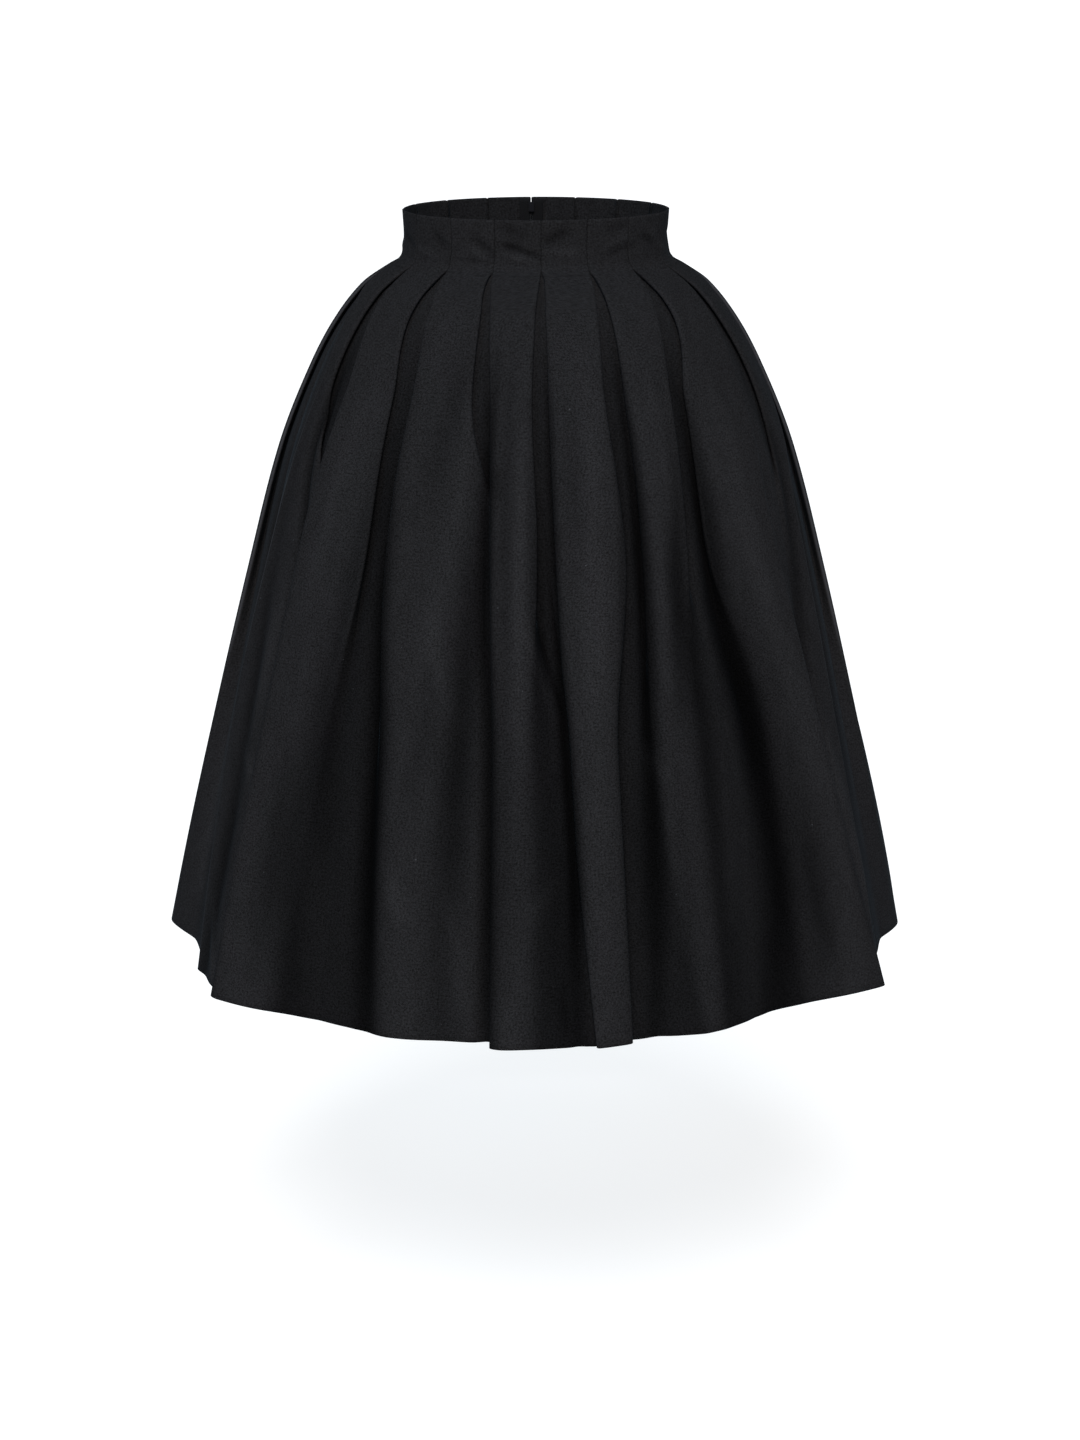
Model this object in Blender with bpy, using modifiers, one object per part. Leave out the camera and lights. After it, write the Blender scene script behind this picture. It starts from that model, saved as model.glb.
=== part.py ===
"""High-waisted knee-length skirt with sixteen inverted box pleats, held in its worn form.

Metres, +Z up, the wearer faces -Y.  The origin is the centre of the natural waist.  Angles run
round the body from centre front, positive towards +X, which is the wearer's left.
"""
import math

import bmesh
import bpy
import numpy as np
from mathutils import Matrix

# Sizes of the whole garment
WAIST_TOP = 0.030
HEM = -0.6765
CLOTH = 0.0012
SEAM_GAP = 0.0003
LAYER = 0.0032
PLEATS = 16

# Level of each named place down the skirt
YOKE = -0.017
SPRING = -0.023
HIP = -0.050
SEAT = -0.120
THIGH = -0.240
KNEE = -0.420

# Body sections: height, half width at the sides, half depth at centre front and back
SECTIONS = (
    (0.030, 0.1246, 0.0916),
    (0.006, 0.1234, 0.0904),
    (-0.0105, 0.1255, 0.0926),
    (-0.016, 0.1290, 0.0964),
    (-0.022, 0.1392, 0.1075),
    (-0.039, 0.1636, 0.1344),
    (-0.075, 0.1918, 0.1653),
    (-0.113, 0.2124, 0.1872),
    (-0.190, 0.2443, 0.2219),
    (-0.307, 0.2762, 0.2566),
    (-0.467, 0.3147, 0.2960),
    (-0.590, 0.3431, 0.3250),
    (HEM, 0.3619, 0.3460),
)

# Heights of the rings that the wall is lofted through, the top edge first
RINGS = (WAIST_TOP, 0.014, 0.0125, 0.006, -0.0105, YOKE, SPRING, -0.033, HIP, -0.078, SEAT,
         -0.175, THIGH, -0.310, -0.385, -0.460, -0.560, HEM)

# Pleats near the top, where they spring open below their stitching and then lie pressed
OPEN_AT_SPRING = 0.0028
TUCK_AT_HIP = 0.016
TUCK_AT_SEAT = 0.018
DEPTH_AT_SPRING = 0.0040
DEPTH_AT_SEAT = 0.0066
MOST_OF_FACE = 0.43

# Roundness of a fold: pressed shut, and opened out into a wave
PRESSED_CUT = 0.0030
OPEN_CUT = 0.030
SHUT_TUCK = 0.003
OPEN_TUCK = -0.006

# One row for each fold edge.  Angles in degrees at hip, seat, thigh, knee and hem.  Tuck is how far
# the cloth turns back behind its box (negative where it opens into a wave), stand how far the edge
# lies outside the body section, depth how far in the next layer lies, all in millimetres.
COLUMNS = ("pleat", "edge", "hip", "seat", "thigh", "knee", "hem", "tuck_thigh", "tuck_knee",
           "tuck_hem", "stand_thigh", "stand_hem", "depth_thigh", "depth_hem")
FOLDS = (
    (-7, "left", -165, -164.4, -165, -166, -167.5, 15, 13, 13, 0, -2, 9, 9),
    (-7, "right", -159, -157, -156, -156.5, -153, 9, -8, -40, 0, -6, 9, 8),
    (-6, "left", -144, -141, -139.5, -139, -141, 8, -12, -34, 0, -6, 9, 11),
    (-6, "right", -137, -134, -133, -131.5, -130, 15, 14, 16, 2, 10, 9, 20),
    (-5, "left", -121, -118, -117, -116.5, -115.5, 10, -6, -22, 0, -6, 9, 12),
    (-5, "right", -113, -110, -108, -106.5, -105, 10, -8, -22, 0, -2, 9, 14),
    (-4, "left", -90, -88.5, -86, -88, -93.5, 12, -4, -52, 0, 2, 9, 27),
    (-4, "right", -78, -70, -71, -73.5, -69.5, 13, 13, 14, 0, -9, 9, 16),
    (-3, "left", -65.5, -64.5, -55.8, -56.5, -56.8, -4, -5, -6, -6, 1, 2, 2),
    (-3, "right", -60.5, -56.1, -57, -57.8, -57.6, 24, 24, 24, 3, 13, 10, 14),
    (-2, "left", -43.6, -39.8, -38.8, -42.5, -46, 8, -14, -48, 0, -8, 9, 11),
    (-2, "right", -36.5, -34, -34.3, -31.4, -28, 8, -6, -30, 0, -13, 9, 6),
    (-1, "left", -19.6, -18.3, -10.8, -9.5, -9, -5, -8, -8, -6, -12, 2, 2),
    (-1, "right", -16.2, -13.6, -11.9, -10.2, -9.4, 20, 22, 24, 1, 5, 9, 19),
    (0, "left", -2.9, -3.7, -2.6, -3.4, -3, 12, -26, -36, 0, 1, 9, 4),
    (0, "right", 0.7, 0.6, 1.2, 2.8, 5.9, 15, 12, 8, 0, 1, 9, 6.5),
    (1, "left", 16.2, 14, 15.2, 11.3, 11.2, 15, 12, 12, 0, -3, 9, 10),
    (1, "right", 20.8, 19.7, 19.4, 18, 22.8, 10, -6, -42, 0, -6, 9, 7),
    (2, "left", 36.6, 31.8, 29, 26.4, 26.5, 6, -36, -40, 0, -8, 9, 11),
    (2, "right", 43.3, 36.6, 34.2, 42, 43, 6, -18, -42, 0, -12, 9, 7),
    (3, "left", 61.5, 58.3, 53.2, 54.5, 57.8, 17, 16, 18, 3, 17, 10, 30),
    (3, "right", 66, 67.5, 62.5, 60.5, 62, -6, -10, -10, -3, -9, 4, 4),
    (4, "left", 79, 79, 67.5, 65.5, 65, 15, 10, -12, 0, -8, 9, 10),
    (4, "right", 90, 88, 83, 82.5, 87, 12, -4, -44, 0, -2, 9, 19),
    (5, "left", 108, 104, 101, 100, 101, 10, -5, -30, 0, 0, 9, 13),
    (5, "right", 114, 110.5, 109, 111, 113, 14, 12, 14, 1, 8, 9, 21),
    (6, "left", 131, 129, 128, 128, 129, 10, -8, -24, 0, -4, 9, 10),
    (6, "right", 137, 134, 134, 137, 139, 12, 4, -20, 0, -3, 9, 11),
    (7, "left", 156, 154, 153, 152, 151, 12, -10, -30, 0, -8, 9, 8),
    (7, "right", 162, 160, 159, 158.5, 158, 16, 14, 14, 2, 4, 9, 20),
    (8, "left", 178, 177.6, 177.6, 177.2, 176.5, 15, 13, 12, 0, 0, 9, 8),
    (8, "right", 182.4, 182.6, 182.6, 182.6, 183.5, 15, 2, -14, 0, -2, 9, 6),
)

# Panels: name, first pleat and last pleat; each seam lies in the middle of its pleat
PANELS = (
    ("front_panel_right", -4, 0),
    ("front_panel_left", 0, 4),
    ("back_panel_left", 4, 8),
    ("back_panel_right", -8, -4),
)

# Points along a pleat in the solids
TURN_POINTS = 4
INNER_POINTS = 3
FACE_POINTS = 2

# Concealed zip in the centre back seam
ZIP_SLOT = 0.0018
ZIP_SLOT_BOTTOM = 0.014
TAPE_INNER = 0.0013
TAPE_OUTER = 0.0110
TAPE_THICK = 0.0008
TAPE_CLEAR = 0.0007
TAPE_TOP = 0.0285
TAPE_BOTTOM = -0.150
SLIDER_Z = 0.0215
SLIDER_WIDTH = 0.0050
SLIDER_HEIGHT = 0.0090
SLIDER_THICK = 0.0018
NECK_WIDTH = 0.0010
NECK_HEIGHT = 0.0026
PIN_RADIUS = 0.0005
PIN_LENGTH = 0.0042
KNUCKLE_RADIUS = 0.0012
KNUCKLE_HOLE = 0.00058
FORK_SLOT = 0.0017
PULL_LENGTH = 0.0205
PULL_WIDTH = 0.0042
PULL_THICK = 0.0012
CLEAR = 0.0003
ROUND_SIDES = 12


def smooth(levels, values, at):
    """Monotone cubic through rows whose levels fall, so nothing swings past a stated size."""
    x = -np.asarray(levels, dtype=float)
    y = np.asarray(values, dtype=float)
    step = np.diff(x)
    slope = np.diff(y) / step
    tangent = np.zeros_like(y)
    tangent[0] = slope[0]
    tangent[-1] = slope[-1]
    for i in range(1, len(y) - 1):
        if slope[i - 1] * slope[i] > 0:
            tangent[i] = 2 * slope[i - 1] * slope[i] / (slope[i - 1] + slope[i])
    here = min(max(-at, x[0]), x[-1])
    i = min(int(np.searchsorted(x, here, side="right")) - 1, len(x) - 2)
    t = (here - x[i]) / step[i]
    near = (2 * t**3 - 3 * t**2 + 1) * y[i] + (t**3 - 2 * t**2 + t) * step[i] * tangent[i]
    far = (3 * t**2 - 2 * t**3) * y[i + 1] + (t**3 - t**2) * step[i] * tangent[i + 1]
    return float(near + far)


def body_section(z):
    """Half width and half depth of the body at one height."""
    levels = [row[0] for row in SECTIONS]
    width = smooth(levels, [row[1] for row in SECTIONS], z)
    depth = smooth(levels, [row[2] for row in SECTIONS], z)
    return width, depth


def arc_rate(angle, width, depth):
    """Metres along the section for one radian of its angle."""
    return math.hypot(width * math.cos(angle), depth * math.sin(angle))


def steepness(z):
    """How much longer the cloth is than its height, where the body section widens downwards."""
    step = 0.001
    return math.hypot(1.0, (body_section(z - step)[0] - body_section(z + step)[0]) / (2 * step))


def place(angle, stand, z):
    """Point that stands off the body section at an angle and a height."""
    width, depth = body_section(z)
    normal = np.array((math.sin(angle) / width, -math.cos(angle) / depth))
    normal /= np.linalg.norm(normal)
    return np.array((width * math.sin(angle) + normal[0] * stand,
                     -depth * math.cos(angle) + normal[1] * stand, z))


def waist_seams():
    """Angle of each pleat's seam, at equal lengths of cloth round the waist."""
    width, depth = body_section(YOKE)
    fine = np.linspace(0.0, 2 * math.pi, 1441)
    rate = np.array([arc_rate(a, width, depth) for a in fine])
    length = np.concatenate(([0.0], np.cumsum((rate[1:] + rate[:-1]) / 2 * np.diff(fine))))
    wanted = np.arange(PLEATS) * length[-1] / PLEATS
    angles = np.interp(wanted, length, fine)
    return {pleat: (angles[pleat] if pleat >= 0 else angles[pleat + PLEATS] - 2 * math.pi)
            for pleat in range(-PLEATS // 2 + 1, PLEATS // 2 + 1)}


SEAMS = waist_seams()


def fold_row(pleat, edge):
    """Table row of one fold edge, with the turn of the circle that its pleat number asks for."""
    turn = 0
    while pleat <= -PLEATS // 2:
        pleat += PLEATS
        turn -= 1
    while pleat > PLEATS // 2:
        pleat -= PLEATS
        turn += 1
    for row in FOLDS:
        if row[0] == pleat and row[1] == edge:
            return dict(zip(COLUMNS, row)), SEAMS[pleat], turn * 2 * math.pi
    raise ValueError("no row for this fold")


def fold_edge(pleat, edge, z):
    """Angle, stand, tuck and depth of one fold edge at one height."""
    row, seam, turn = fold_row(pleat, edge)
    side = 1 if edge == "right" else -1
    opened = seam + side * OPEN_AT_SPRING / arc_rate(seam, *body_section(SPRING))
    angles = [seam, opened]
    angles += [math.radians(row[level]) for level in ("hip", "seat", "thigh", "knee", "hem")]
    angle = smooth((YOKE, SPRING, HIP, SEAT, THIGH, KNEE, HEM), angles, z) + turn
    millimetre = 0.001
    tuck = smooth((YOKE, SPRING, HIP, SEAT, THIGH, KNEE, HEM),
                  (0.0, 0.0, TUCK_AT_HIP, TUCK_AT_SEAT, row["tuck_thigh"] * millimetre,
                   row["tuck_knee"] * millimetre, row["tuck_hem"] * millimetre), z)
    depth = smooth((YOKE, SPRING, HIP, SEAT, THIGH, HEM),
                   (0.0, DEPTH_AT_SPRING, 2 * LAYER, DEPTH_AT_SEAT,
                    row["depth_thigh"] * millimetre, row["depth_hem"] * millimetre), z)
    depth *= steepness(z)
    stand = smooth((SEAT, THIGH, HEM),
                   (0.0, row["stand_thigh"] * millimetre, row["stand_hem"] * millimetre), z)
    return angle, stand, tuck, depth


def bezier(points, count):
    """Points along a cubic curve, both ends with it."""
    a, b, c, d = points
    return [(1 - t)**3 * a + 3 * (1 - t)**2 * t * b + 3 * (1 - t) * t**2 * c + t**3 * d
            for t in np.linspace(0.0, 1.0, count)]


def turn_points(before, first, second, after, cut, shut, count):
    """Cloth going round a fold whose two corners lie one above the other."""
    reach_in = np.linalg.norm(before - first)
    reach_out = np.linalg.norm(after - second)
    cut = min(cut, 0.45 * reach_in, 0.45 * reach_out)
    inward = (before - first) / max(reach_in, 1e-9)
    outward = (after - second) / max(reach_out, 1e-9)
    swell = cut / 3 * shut
    return bezier((first + inward * cut, first - inward * swell,
                   second - outward * swell, second + outward * cut), count)


def half_pleat(pleat, edge, z):
    """Pleat middle, inner fold and outer edge of one side, as (angle, stand) points in metres."""
    angle, stand, tuck, depth = fold_edge(pleat, edge, z)
    side = 1 if edge == "right" else -1
    width, half_depth = body_section(z)
    rate = arc_rate(angle, width, half_depth)
    neighbour = fold_edge(pleat + side, "left" if edge == "right" else "right", z)
    face = abs(neighbour[0] - angle) * rate
    tuck = min(tuck, MOST_OF_FACE * face)
    shut = min(max((tuck - OPEN_TUCK) / (SHUT_TUCK - OPEN_TUCK), 0.0), 1.0)
    layer = min(LAYER * steepness(z), depth / 2) * shut
    inner = angle + side * tuck / rate
    return {
        "rate": rate, "shut": shut,
        "inner_low": np.array((inner * rate, stand - depth)),
        "inner_high": np.array((inner * rate, stand - depth + layer)),
        "edge_low": np.array((angle * rate, stand - layer)),
        "edge_high": np.array((angle * rate, stand)),
        "next_edge": np.array((neighbour[0] * rate, neighbour[1])),
    }


def side_points(pleat, edge, z, turn_count, inner_count):
    """Angle and stand of the cloth from the pleat's middle out to its box, on one side."""
    half = half_pleat(pleat, edge, z)
    other = half_pleat(pleat, "left" if edge == "right" else "right", z)
    rate = half["rate"]
    middle_angle = (half["inner_low"][0] / rate + other["inner_low"][0] / other["rate"]) / 2
    middle_stand = (half["inner_low"][1] + other["inner_low"][1]) / 2
    middle = np.array((middle_angle * rate, middle_stand))
    cut = PRESSED_CUT * half["shut"] + OPEN_CUT * (1 - half["shut"])
    inner = turn_points(middle, half["inner_low"], half["inner_high"], half["edge_low"],
                        cut, half["shut"], inner_count)
    outer = turn_points(half["inner_high"], half["edge_low"], half["edge_high"],
                        half["next_edge"], cut, half["shut"], turn_count)
    path = [np.array((p[0] / rate, p[1])) for p in inner + outer]
    return np.array((middle_angle, middle_stand)), path


def seam_half_gap(pleat, z):
    """Half of the gap between two panels at the seam in this pleat."""
    if abs(pleat) == PLEATS // 2 and z >= ZIP_SLOT_BOTTOM:
        return ZIP_SLOT / 2
    return SEAM_GAP / 2


def keep_clear(path, limit, side):
    """Points of a path kept on one side of an angle."""
    return [np.array((max(p[0] * side, limit * side) * side, p[1])) for p in path]


def panel_ring(first, last, z):
    """Points across one panel at one height, from seam to seam."""
    points = []
    width, depth = body_section(z)
    for pleat in range(first, last):
        middle, right = side_points(pleat, "right", z, TURN_POINTS, INNER_POINTS)
        end, left = side_points(pleat + 1, "left", z, TURN_POINTS, INNER_POINTS)
        left.reverse()
        if pleat == first:
            middle = middle + (seam_half_gap(first, z) / arc_rate(middle[0], width, depth), 0.0)
            right = keep_clear(right, middle[0], 1)
        if pleat + 1 == last:
            end = end - (seam_half_gap(last, z) / arc_rate(end[0], width, depth), 0.0)
            left = keep_clear(left, end[0], -1)
        start = place(right[-1][0], right[-1][1], z)
        finish = place(left[0][0], left[0][1], z)
        points.append(place(middle[0], middle[1], z))
        points += [place(p[0], p[1], z) for p in right]
        for part in range(1, FACE_POINTS + 1):
            share = part / (FACE_POINTS + 1)
            angle = right[-1][0] * (1 - share) + left[0][0] * share
            stand = right[-1][1] * (1 - share) + left[0][1] * share
            follow = place(angle, stand, z)
            flat = start * (1 - share) + finish * share
            points.append((follow + flat) / 2)
        points += [place(p[0], p[1], z) for p in left]
        if pleat + 1 == last:
            points.append(place(end[0], end[1], z))
    return points


def material(name, colour, roughness, metallic):
    """Plain finish for one kind of piece."""
    made = bpy.data.materials.new(name)
    made.use_nodes = True
    shader = made.node_tree.nodes["Principled BSDF"]
    shader.inputs["Base Color"].default_value = (*colour, 1.0)
    shader.inputs["Roughness"].default_value = roughness
    shader.inputs["Metallic"].default_value = metallic
    return made


def link(name, mesh, finish, group):
    """Object in the part's collection."""
    made = bpy.data.objects.new(name, mesh)
    mesh.materials.append(finish)
    group.objects.link(made)
    return made


def loft(name, rings, finish, group):
    """Open surface through rows of points that all hold the same number."""
    shape = bmesh.new()
    rows = [[shape.verts.new(p) for p in ring] for ring in rings]
    for upper, lower in zip(rows, rows[1:]):
        for i in range(len(upper) - 1):
            shape.faces.new((upper[i], lower[i], lower[i + 1], upper[i + 1]))
    bmesh.ops.remove_doubles(shape, verts=shape.verts, dist=0.00005)
    mesh = bpy.data.meshes.new(name)
    shape.to_mesh(mesh)
    shape.free()
    mesh.shade_smooth()
    return link(name, mesh, finish, group)


def thicken(piece, thickness):
    """Cloth thickness, half of it on each side of the surface."""
    shell = piece.modifiers.new("thickness", "SOLIDIFY")
    shell.thickness = thickness
    shell.offset = 0.0


def make_panel(name, first, last, finish, group):
    """One panel of pleated cloth, from seam to seam and from waist to hem."""
    rings = [panel_ring(first, last, z) for z in RINGS]
    thicken(loft(name, rings, finish, group), CLOTH)


def back_wall_inside(z):
    """How far back the innermost cloth lies behind the zip tapes."""
    innermost = body_section(z)[1]
    for first, last in ((4, 8), (-8, -4)):
        ring = panel_ring(first, last, z)
        for near, far in zip(ring, ring[1:]):
            for share in (0.0, 0.25, 0.5, 0.75, 1.0):
                x, y, height = near * (1 - share) + far * share
                if abs(x) < TAPE_OUTER + LAYER and y > 0:
                    innermost = min(innermost, y)
    return innermost


def make_tape(name, side, finish, group):
    """Zip tape that lies inside the centre back seam, on the same levels as the wall's rings."""
    levels = [TAPE_TOP] + [z for z in RINGS if TAPE_BOTTOM < z < TAPE_TOP] + [TAPE_BOTTOM]
    rings = []
    for z in levels:
        y = back_wall_inside(z) - (CLOTH / 2 + TAPE_CLEAR + TAPE_THICK / 2) * steepness(z)
        ring = [np.array((side * across, y, z)) for across in (TAPE_INNER, TAPE_OUTER)]
        rings.append(ring if side < 0 else ring[::-1])
    thicken(loft(name, rings, finish, group), TAPE_THICK)


def block(name, size, centre, group):
    """Box of a stated size."""
    shape = bmesh.new()
    bmesh.ops.create_cube(shape, size=1.0)
    bmesh.ops.scale(shape, vec=size, verts=shape.verts)
    bmesh.ops.translate(shape, vec=centre, verts=shape.verts)
    mesh = bpy.data.meshes.new(name)
    shape.to_mesh(mesh)
    shape.free()
    made = bpy.data.objects.new(name, mesh)
    group.objects.link(made)
    return made


def rod(name, radius, length, centre, group):
    """Round rod along X."""
    shape = bmesh.new()
    bmesh.ops.create_cone(shape, cap_ends=True, segments=ROUND_SIDES, radius1=radius,
                          radius2=radius, depth=length)
    bmesh.ops.rotate(shape, verts=shape.verts, cent=(0, 0, 0),
                     matrix=Matrix.Rotation(math.pi / 2, 3, "Y"))
    bmesh.ops.translate(shape, vec=centre, verts=shape.verts)
    mesh = bpy.data.meshes.new(name)
    shape.to_mesh(mesh)
    shape.free()
    made = bpy.data.objects.new(name, mesh)
    group.objects.link(made)
    return made


def join_or_cut(piece, tool, operation):
    """Boolean with a guide that stays hidden."""
    change = piece.modifiers.new(tool.name, "BOOLEAN")
    change.operation = operation
    change.object = tool
    tool.hide_render = True
    tool.display_type = "WIRE"


def make_slider(hinge_y, inside_y, finish, group, guides):
    """Zip slider: its body inside the seam, a neck through it and the pin that holds the pull."""
    body_y = inside_y - SLIDER_THICK / 2
    body = block("zip_slider", (SLIDER_WIDTH, SLIDER_THICK, SLIDER_HEIGHT),
                 (0.0, body_y, SLIDER_Z), group)
    body.data.materials.append(finish)
    neck = block("slider_neck", (NECK_WIDTH, hinge_y - body_y, NECK_HEIGHT),
                 (0.0, (hinge_y + body_y) / 2, SLIDER_Z), guides)
    pin = rod("slider_pin", PIN_RADIUS, PIN_LENGTH, (0.0, hinge_y, SLIDER_Z), guides)
    join_or_cut(neck, pin, "UNION")
    join_or_cut(body, neck, "UNION")


def make_pull(hinge_y, finish, group, guides):
    """Pull tab that hangs from the slider's pin by a forked knuckle."""
    hinge = bpy.data.objects.new("pull_hinge", None)
    hinge.location = (0.0, hinge_y, SLIDER_Z)
    group.objects.link(hinge)
    tab = block("zip_pull", (PULL_WIDTH, PULL_THICK, PULL_LENGTH),
                (0.0, 0.0, -PULL_LENGTH / 2), group)
    tab.data.materials.append(finish)
    tab.parent = hinge
    knuckle = rod("pull_knuckle", KNUCKLE_RADIUS, PULL_WIDTH, (0.0, 0.0, 0.0), guides)
    slot_height = KNUCKLE_RADIUS + NECK_HEIGHT
    slot = block("pull_slot", (FORK_SLOT, 4 * KNUCKLE_RADIUS, 2 * slot_height),
                 (0.0, 0.0, 0.0), guides)
    hole = rod("pull_hole", KNUCKLE_HOLE, 2 * PULL_WIDTH, (0.0, 0.0, 0.0), guides)
    for tool, operation in ((knuckle, "UNION"), (slot, "DIFFERENCE"), (hole, "DIFFERENCE")):
        tool.parent = hinge
        join_or_cut(tab, tool, operation)
    rounded = tab.modifiers.new("round_end", "BEVEL")
    rounded.width = 0.0003
    rounded.segments = 1
    rounded.limit_method = "ANGLE"


def main():
    for old in list(bpy.data.objects):
        bpy.data.objects.remove(old, do_unlink=True)
    group = bpy.data.collections.new("pleated_skirt")
    guides = bpy.data.collections.new("guides")
    bpy.context.scene.collection.children.link(group)
    bpy.context.scene.collection.children.link(guides)

    twill = material("black_twill", (0.012, 0.012, 0.014), 0.75, 0.0)
    tape = material("zip_tape", (0.010, 0.010, 0.012), 0.85, 0.0)
    metal = material("zip_metal", (0.020, 0.020, 0.022), 0.35, 0.9)

    for name, first, last in PANELS:
        make_panel(name, first, last, twill, group)
    make_tape("zip_tape_left", 1, tape, group)
    make_tape("zip_tape_right", -1, tape, group)

    wall_y = body_section(SLIDER_Z)[1]
    inside_y = back_wall_inside(TAPE_TOP) - CLOTH / 2 - TAPE_CLEAR - TAPE_THICK - 4 * CLEAR
    hinge_y = wall_y + CLOTH / 2 + 2 * CLEAR + KNUCKLE_RADIUS
    make_slider(hinge_y, inside_y, metal, group, guides)
    make_pull(hinge_y, metal, group, guides)


main()
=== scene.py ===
# %% [markdown]
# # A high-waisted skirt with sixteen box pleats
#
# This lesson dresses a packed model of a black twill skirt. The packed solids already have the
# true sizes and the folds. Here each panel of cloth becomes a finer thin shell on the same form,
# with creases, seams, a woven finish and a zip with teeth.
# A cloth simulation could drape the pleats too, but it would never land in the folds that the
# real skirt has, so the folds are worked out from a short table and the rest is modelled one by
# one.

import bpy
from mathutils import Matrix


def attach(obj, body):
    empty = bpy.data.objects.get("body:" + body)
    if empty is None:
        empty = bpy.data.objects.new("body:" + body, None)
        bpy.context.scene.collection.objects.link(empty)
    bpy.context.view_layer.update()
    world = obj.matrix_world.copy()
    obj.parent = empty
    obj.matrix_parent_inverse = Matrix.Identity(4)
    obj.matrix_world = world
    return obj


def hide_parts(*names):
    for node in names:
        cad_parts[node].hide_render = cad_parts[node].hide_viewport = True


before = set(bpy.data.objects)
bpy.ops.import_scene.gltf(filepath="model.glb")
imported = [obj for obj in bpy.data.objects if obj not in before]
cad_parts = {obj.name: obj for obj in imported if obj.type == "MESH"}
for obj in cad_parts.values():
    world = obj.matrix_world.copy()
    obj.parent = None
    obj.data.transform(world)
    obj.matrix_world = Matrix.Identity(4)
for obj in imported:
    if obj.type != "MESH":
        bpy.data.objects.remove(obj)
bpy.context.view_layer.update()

# %% The modules that do the work
import math

import bpy
import numpy as np
from mathutils import Vector

print("Blender", bpy.app.version_string)

# %% [markdown]
# ## Sizes of the garment
#
# Everything is in metres, with the wearer facing -Y and the origin at the centre of the waist.
# Angles run round the body from centre front and grow towards +X. These are the same driving
# sizes that the solids were made from, so the cloth lands exactly on them.

# %% Overall sizes and named levels
WAIST_TOP = 0.030
HEM = -0.6765
CLOTH = 0.0012
LAYER = 0.0032
PLEATS = 16
YOKE = -0.017
SPRING = -0.023
HIP = -0.050
SEAT = -0.120
THIGH = -0.240
KNEE = -0.420
MM = 0.001
print(f"length {WAIST_TOP - HEM:.3f} m, {PLEATS} pleats")

# %% [markdown]
# A skirt like this is close to an ellipse at every height. Thirteen rows hold its half width at
# the sides and its half depth at the front, and a smooth curve runs through them. The curve is a
# monotone cubic, which never swings past a stated size the way a plain spline can.

# %% Body sections: height, half width, half depth
SECTIONS = (
    (0.030, 0.1246, 0.0916),
    (0.006, 0.1234, 0.0904),
    (-0.0105, 0.1255, 0.0926),
    (-0.016, 0.1290, 0.0964),
    (-0.022, 0.1392, 0.1075),
    (-0.039, 0.1636, 0.1344),
    (-0.075, 0.1918, 0.1653),
    (-0.113, 0.2124, 0.1872),
    (-0.190, 0.2443, 0.2219),
    (-0.307, 0.2762, 0.2566),
    (-0.467, 0.3147, 0.2960),
    (-0.590, 0.3431, 0.3250),
    (HEM, 0.3619, 0.3460),
)
print(len(SECTIONS), "sections")


# %% A smooth curve through rows whose levels fall
def smooth(levels, values, at):
    """Monotone cubic through the rows, at one height or at many."""
    x = -np.asarray(levels, dtype=float)
    y = np.asarray(values, dtype=float)
    step = np.diff(x)
    slope = np.diff(y) / step
    tangent = np.zeros_like(y)
    tangent[0] = slope[0]
    tangent[-1] = slope[-1]
    for i in range(1, len(y) - 1):
        if slope[i - 1] * slope[i] > 0:
            tangent[i] = 2 * slope[i - 1] * slope[i] / (slope[i - 1] + slope[i])
    here = np.clip(-np.asarray(at, dtype=float), x[0], x[-1])
    i = np.clip(np.searchsorted(x, here, side="right") - 1, 0, len(x) - 2)
    t = (here - x[i]) / step[i]
    near = (2 * t**3 - 3 * t**2 + 1) * y[i] + (t**3 - 2 * t**2 + t) * step[i] * tangent[i]
    far = (3 * t**2 - 2 * t**3) * y[i + 1] + (t**3 - t**2) * step[i] * tangent[i + 1]
    return near + far


def body_section(z):
    """Half width and half depth of the body at each height."""
    levels = [row[0] for row in SECTIONS]
    width = smooth(levels, [row[1] for row in SECTIONS], z)
    depth = smooth(levels, [row[2] for row in SECTIONS], z)
    return width, depth


print("half sizes at the hem:", [round(float(v), 4) for v in body_section(HEM)])


# %% Places on and off the body section
def arc_rate(angle, width, depth):
    """Metres along the section for one radian of its angle."""
    return np.hypot(width * np.cos(angle), depth * np.sin(angle))


def steepness(z):
    """How much longer the cloth is than its height, where the section widens downwards."""
    return np.hypot(1.0, (body_section(z - MM)[0] - body_section(z + MM)[0]) / (2 * MM))


def outward(angle, z):
    """Unit vectors that point straight out of the section."""
    width, depth = body_section(z)
    x = np.sin(angle) / width
    y = -np.cos(angle) / depth
    long = np.hypot(x, y)
    return np.stack((x / long, y / long, np.zeros_like(long)), axis=-1)


def place(angle, stand, z):
    """Points that stand off the body section."""
    width, depth = body_section(z)
    z = np.broadcast_to(z, np.shape(angle))
    on = np.stack((width * np.sin(angle), -depth * np.cos(angle), z), axis=-1)
    return on + outward(angle, z) * np.asarray(stand)[..., None]


print("straight out at the left side:", outward(np.array(math.pi / 2), 0.0).round(2))

# %% Shares, directions and turns
TINY = 1e-12


def share_of(value, start, end):
    """How far a value has come from a start to an end, from 0 to 1."""
    return np.clip((value - start) / (end - start), 0.0, 1.0)


def ease(share):
    """The same share, starting and ending gently."""
    return share**2 * (3 - 2 * share)


def unit(vectors):
    """The same directions, each one metre long."""
    return vectors / np.maximum(np.linalg.norm(vectors, axis=-1, keepdims=True), TINY)


def turned_from(start, angle):
    """The short way round from one angle to another, in radians."""
    return np.mod(angle - start + math.pi, 2 * math.pi) - math.pi


print("a quarter of the way, eased:", ease(0.25))

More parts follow.
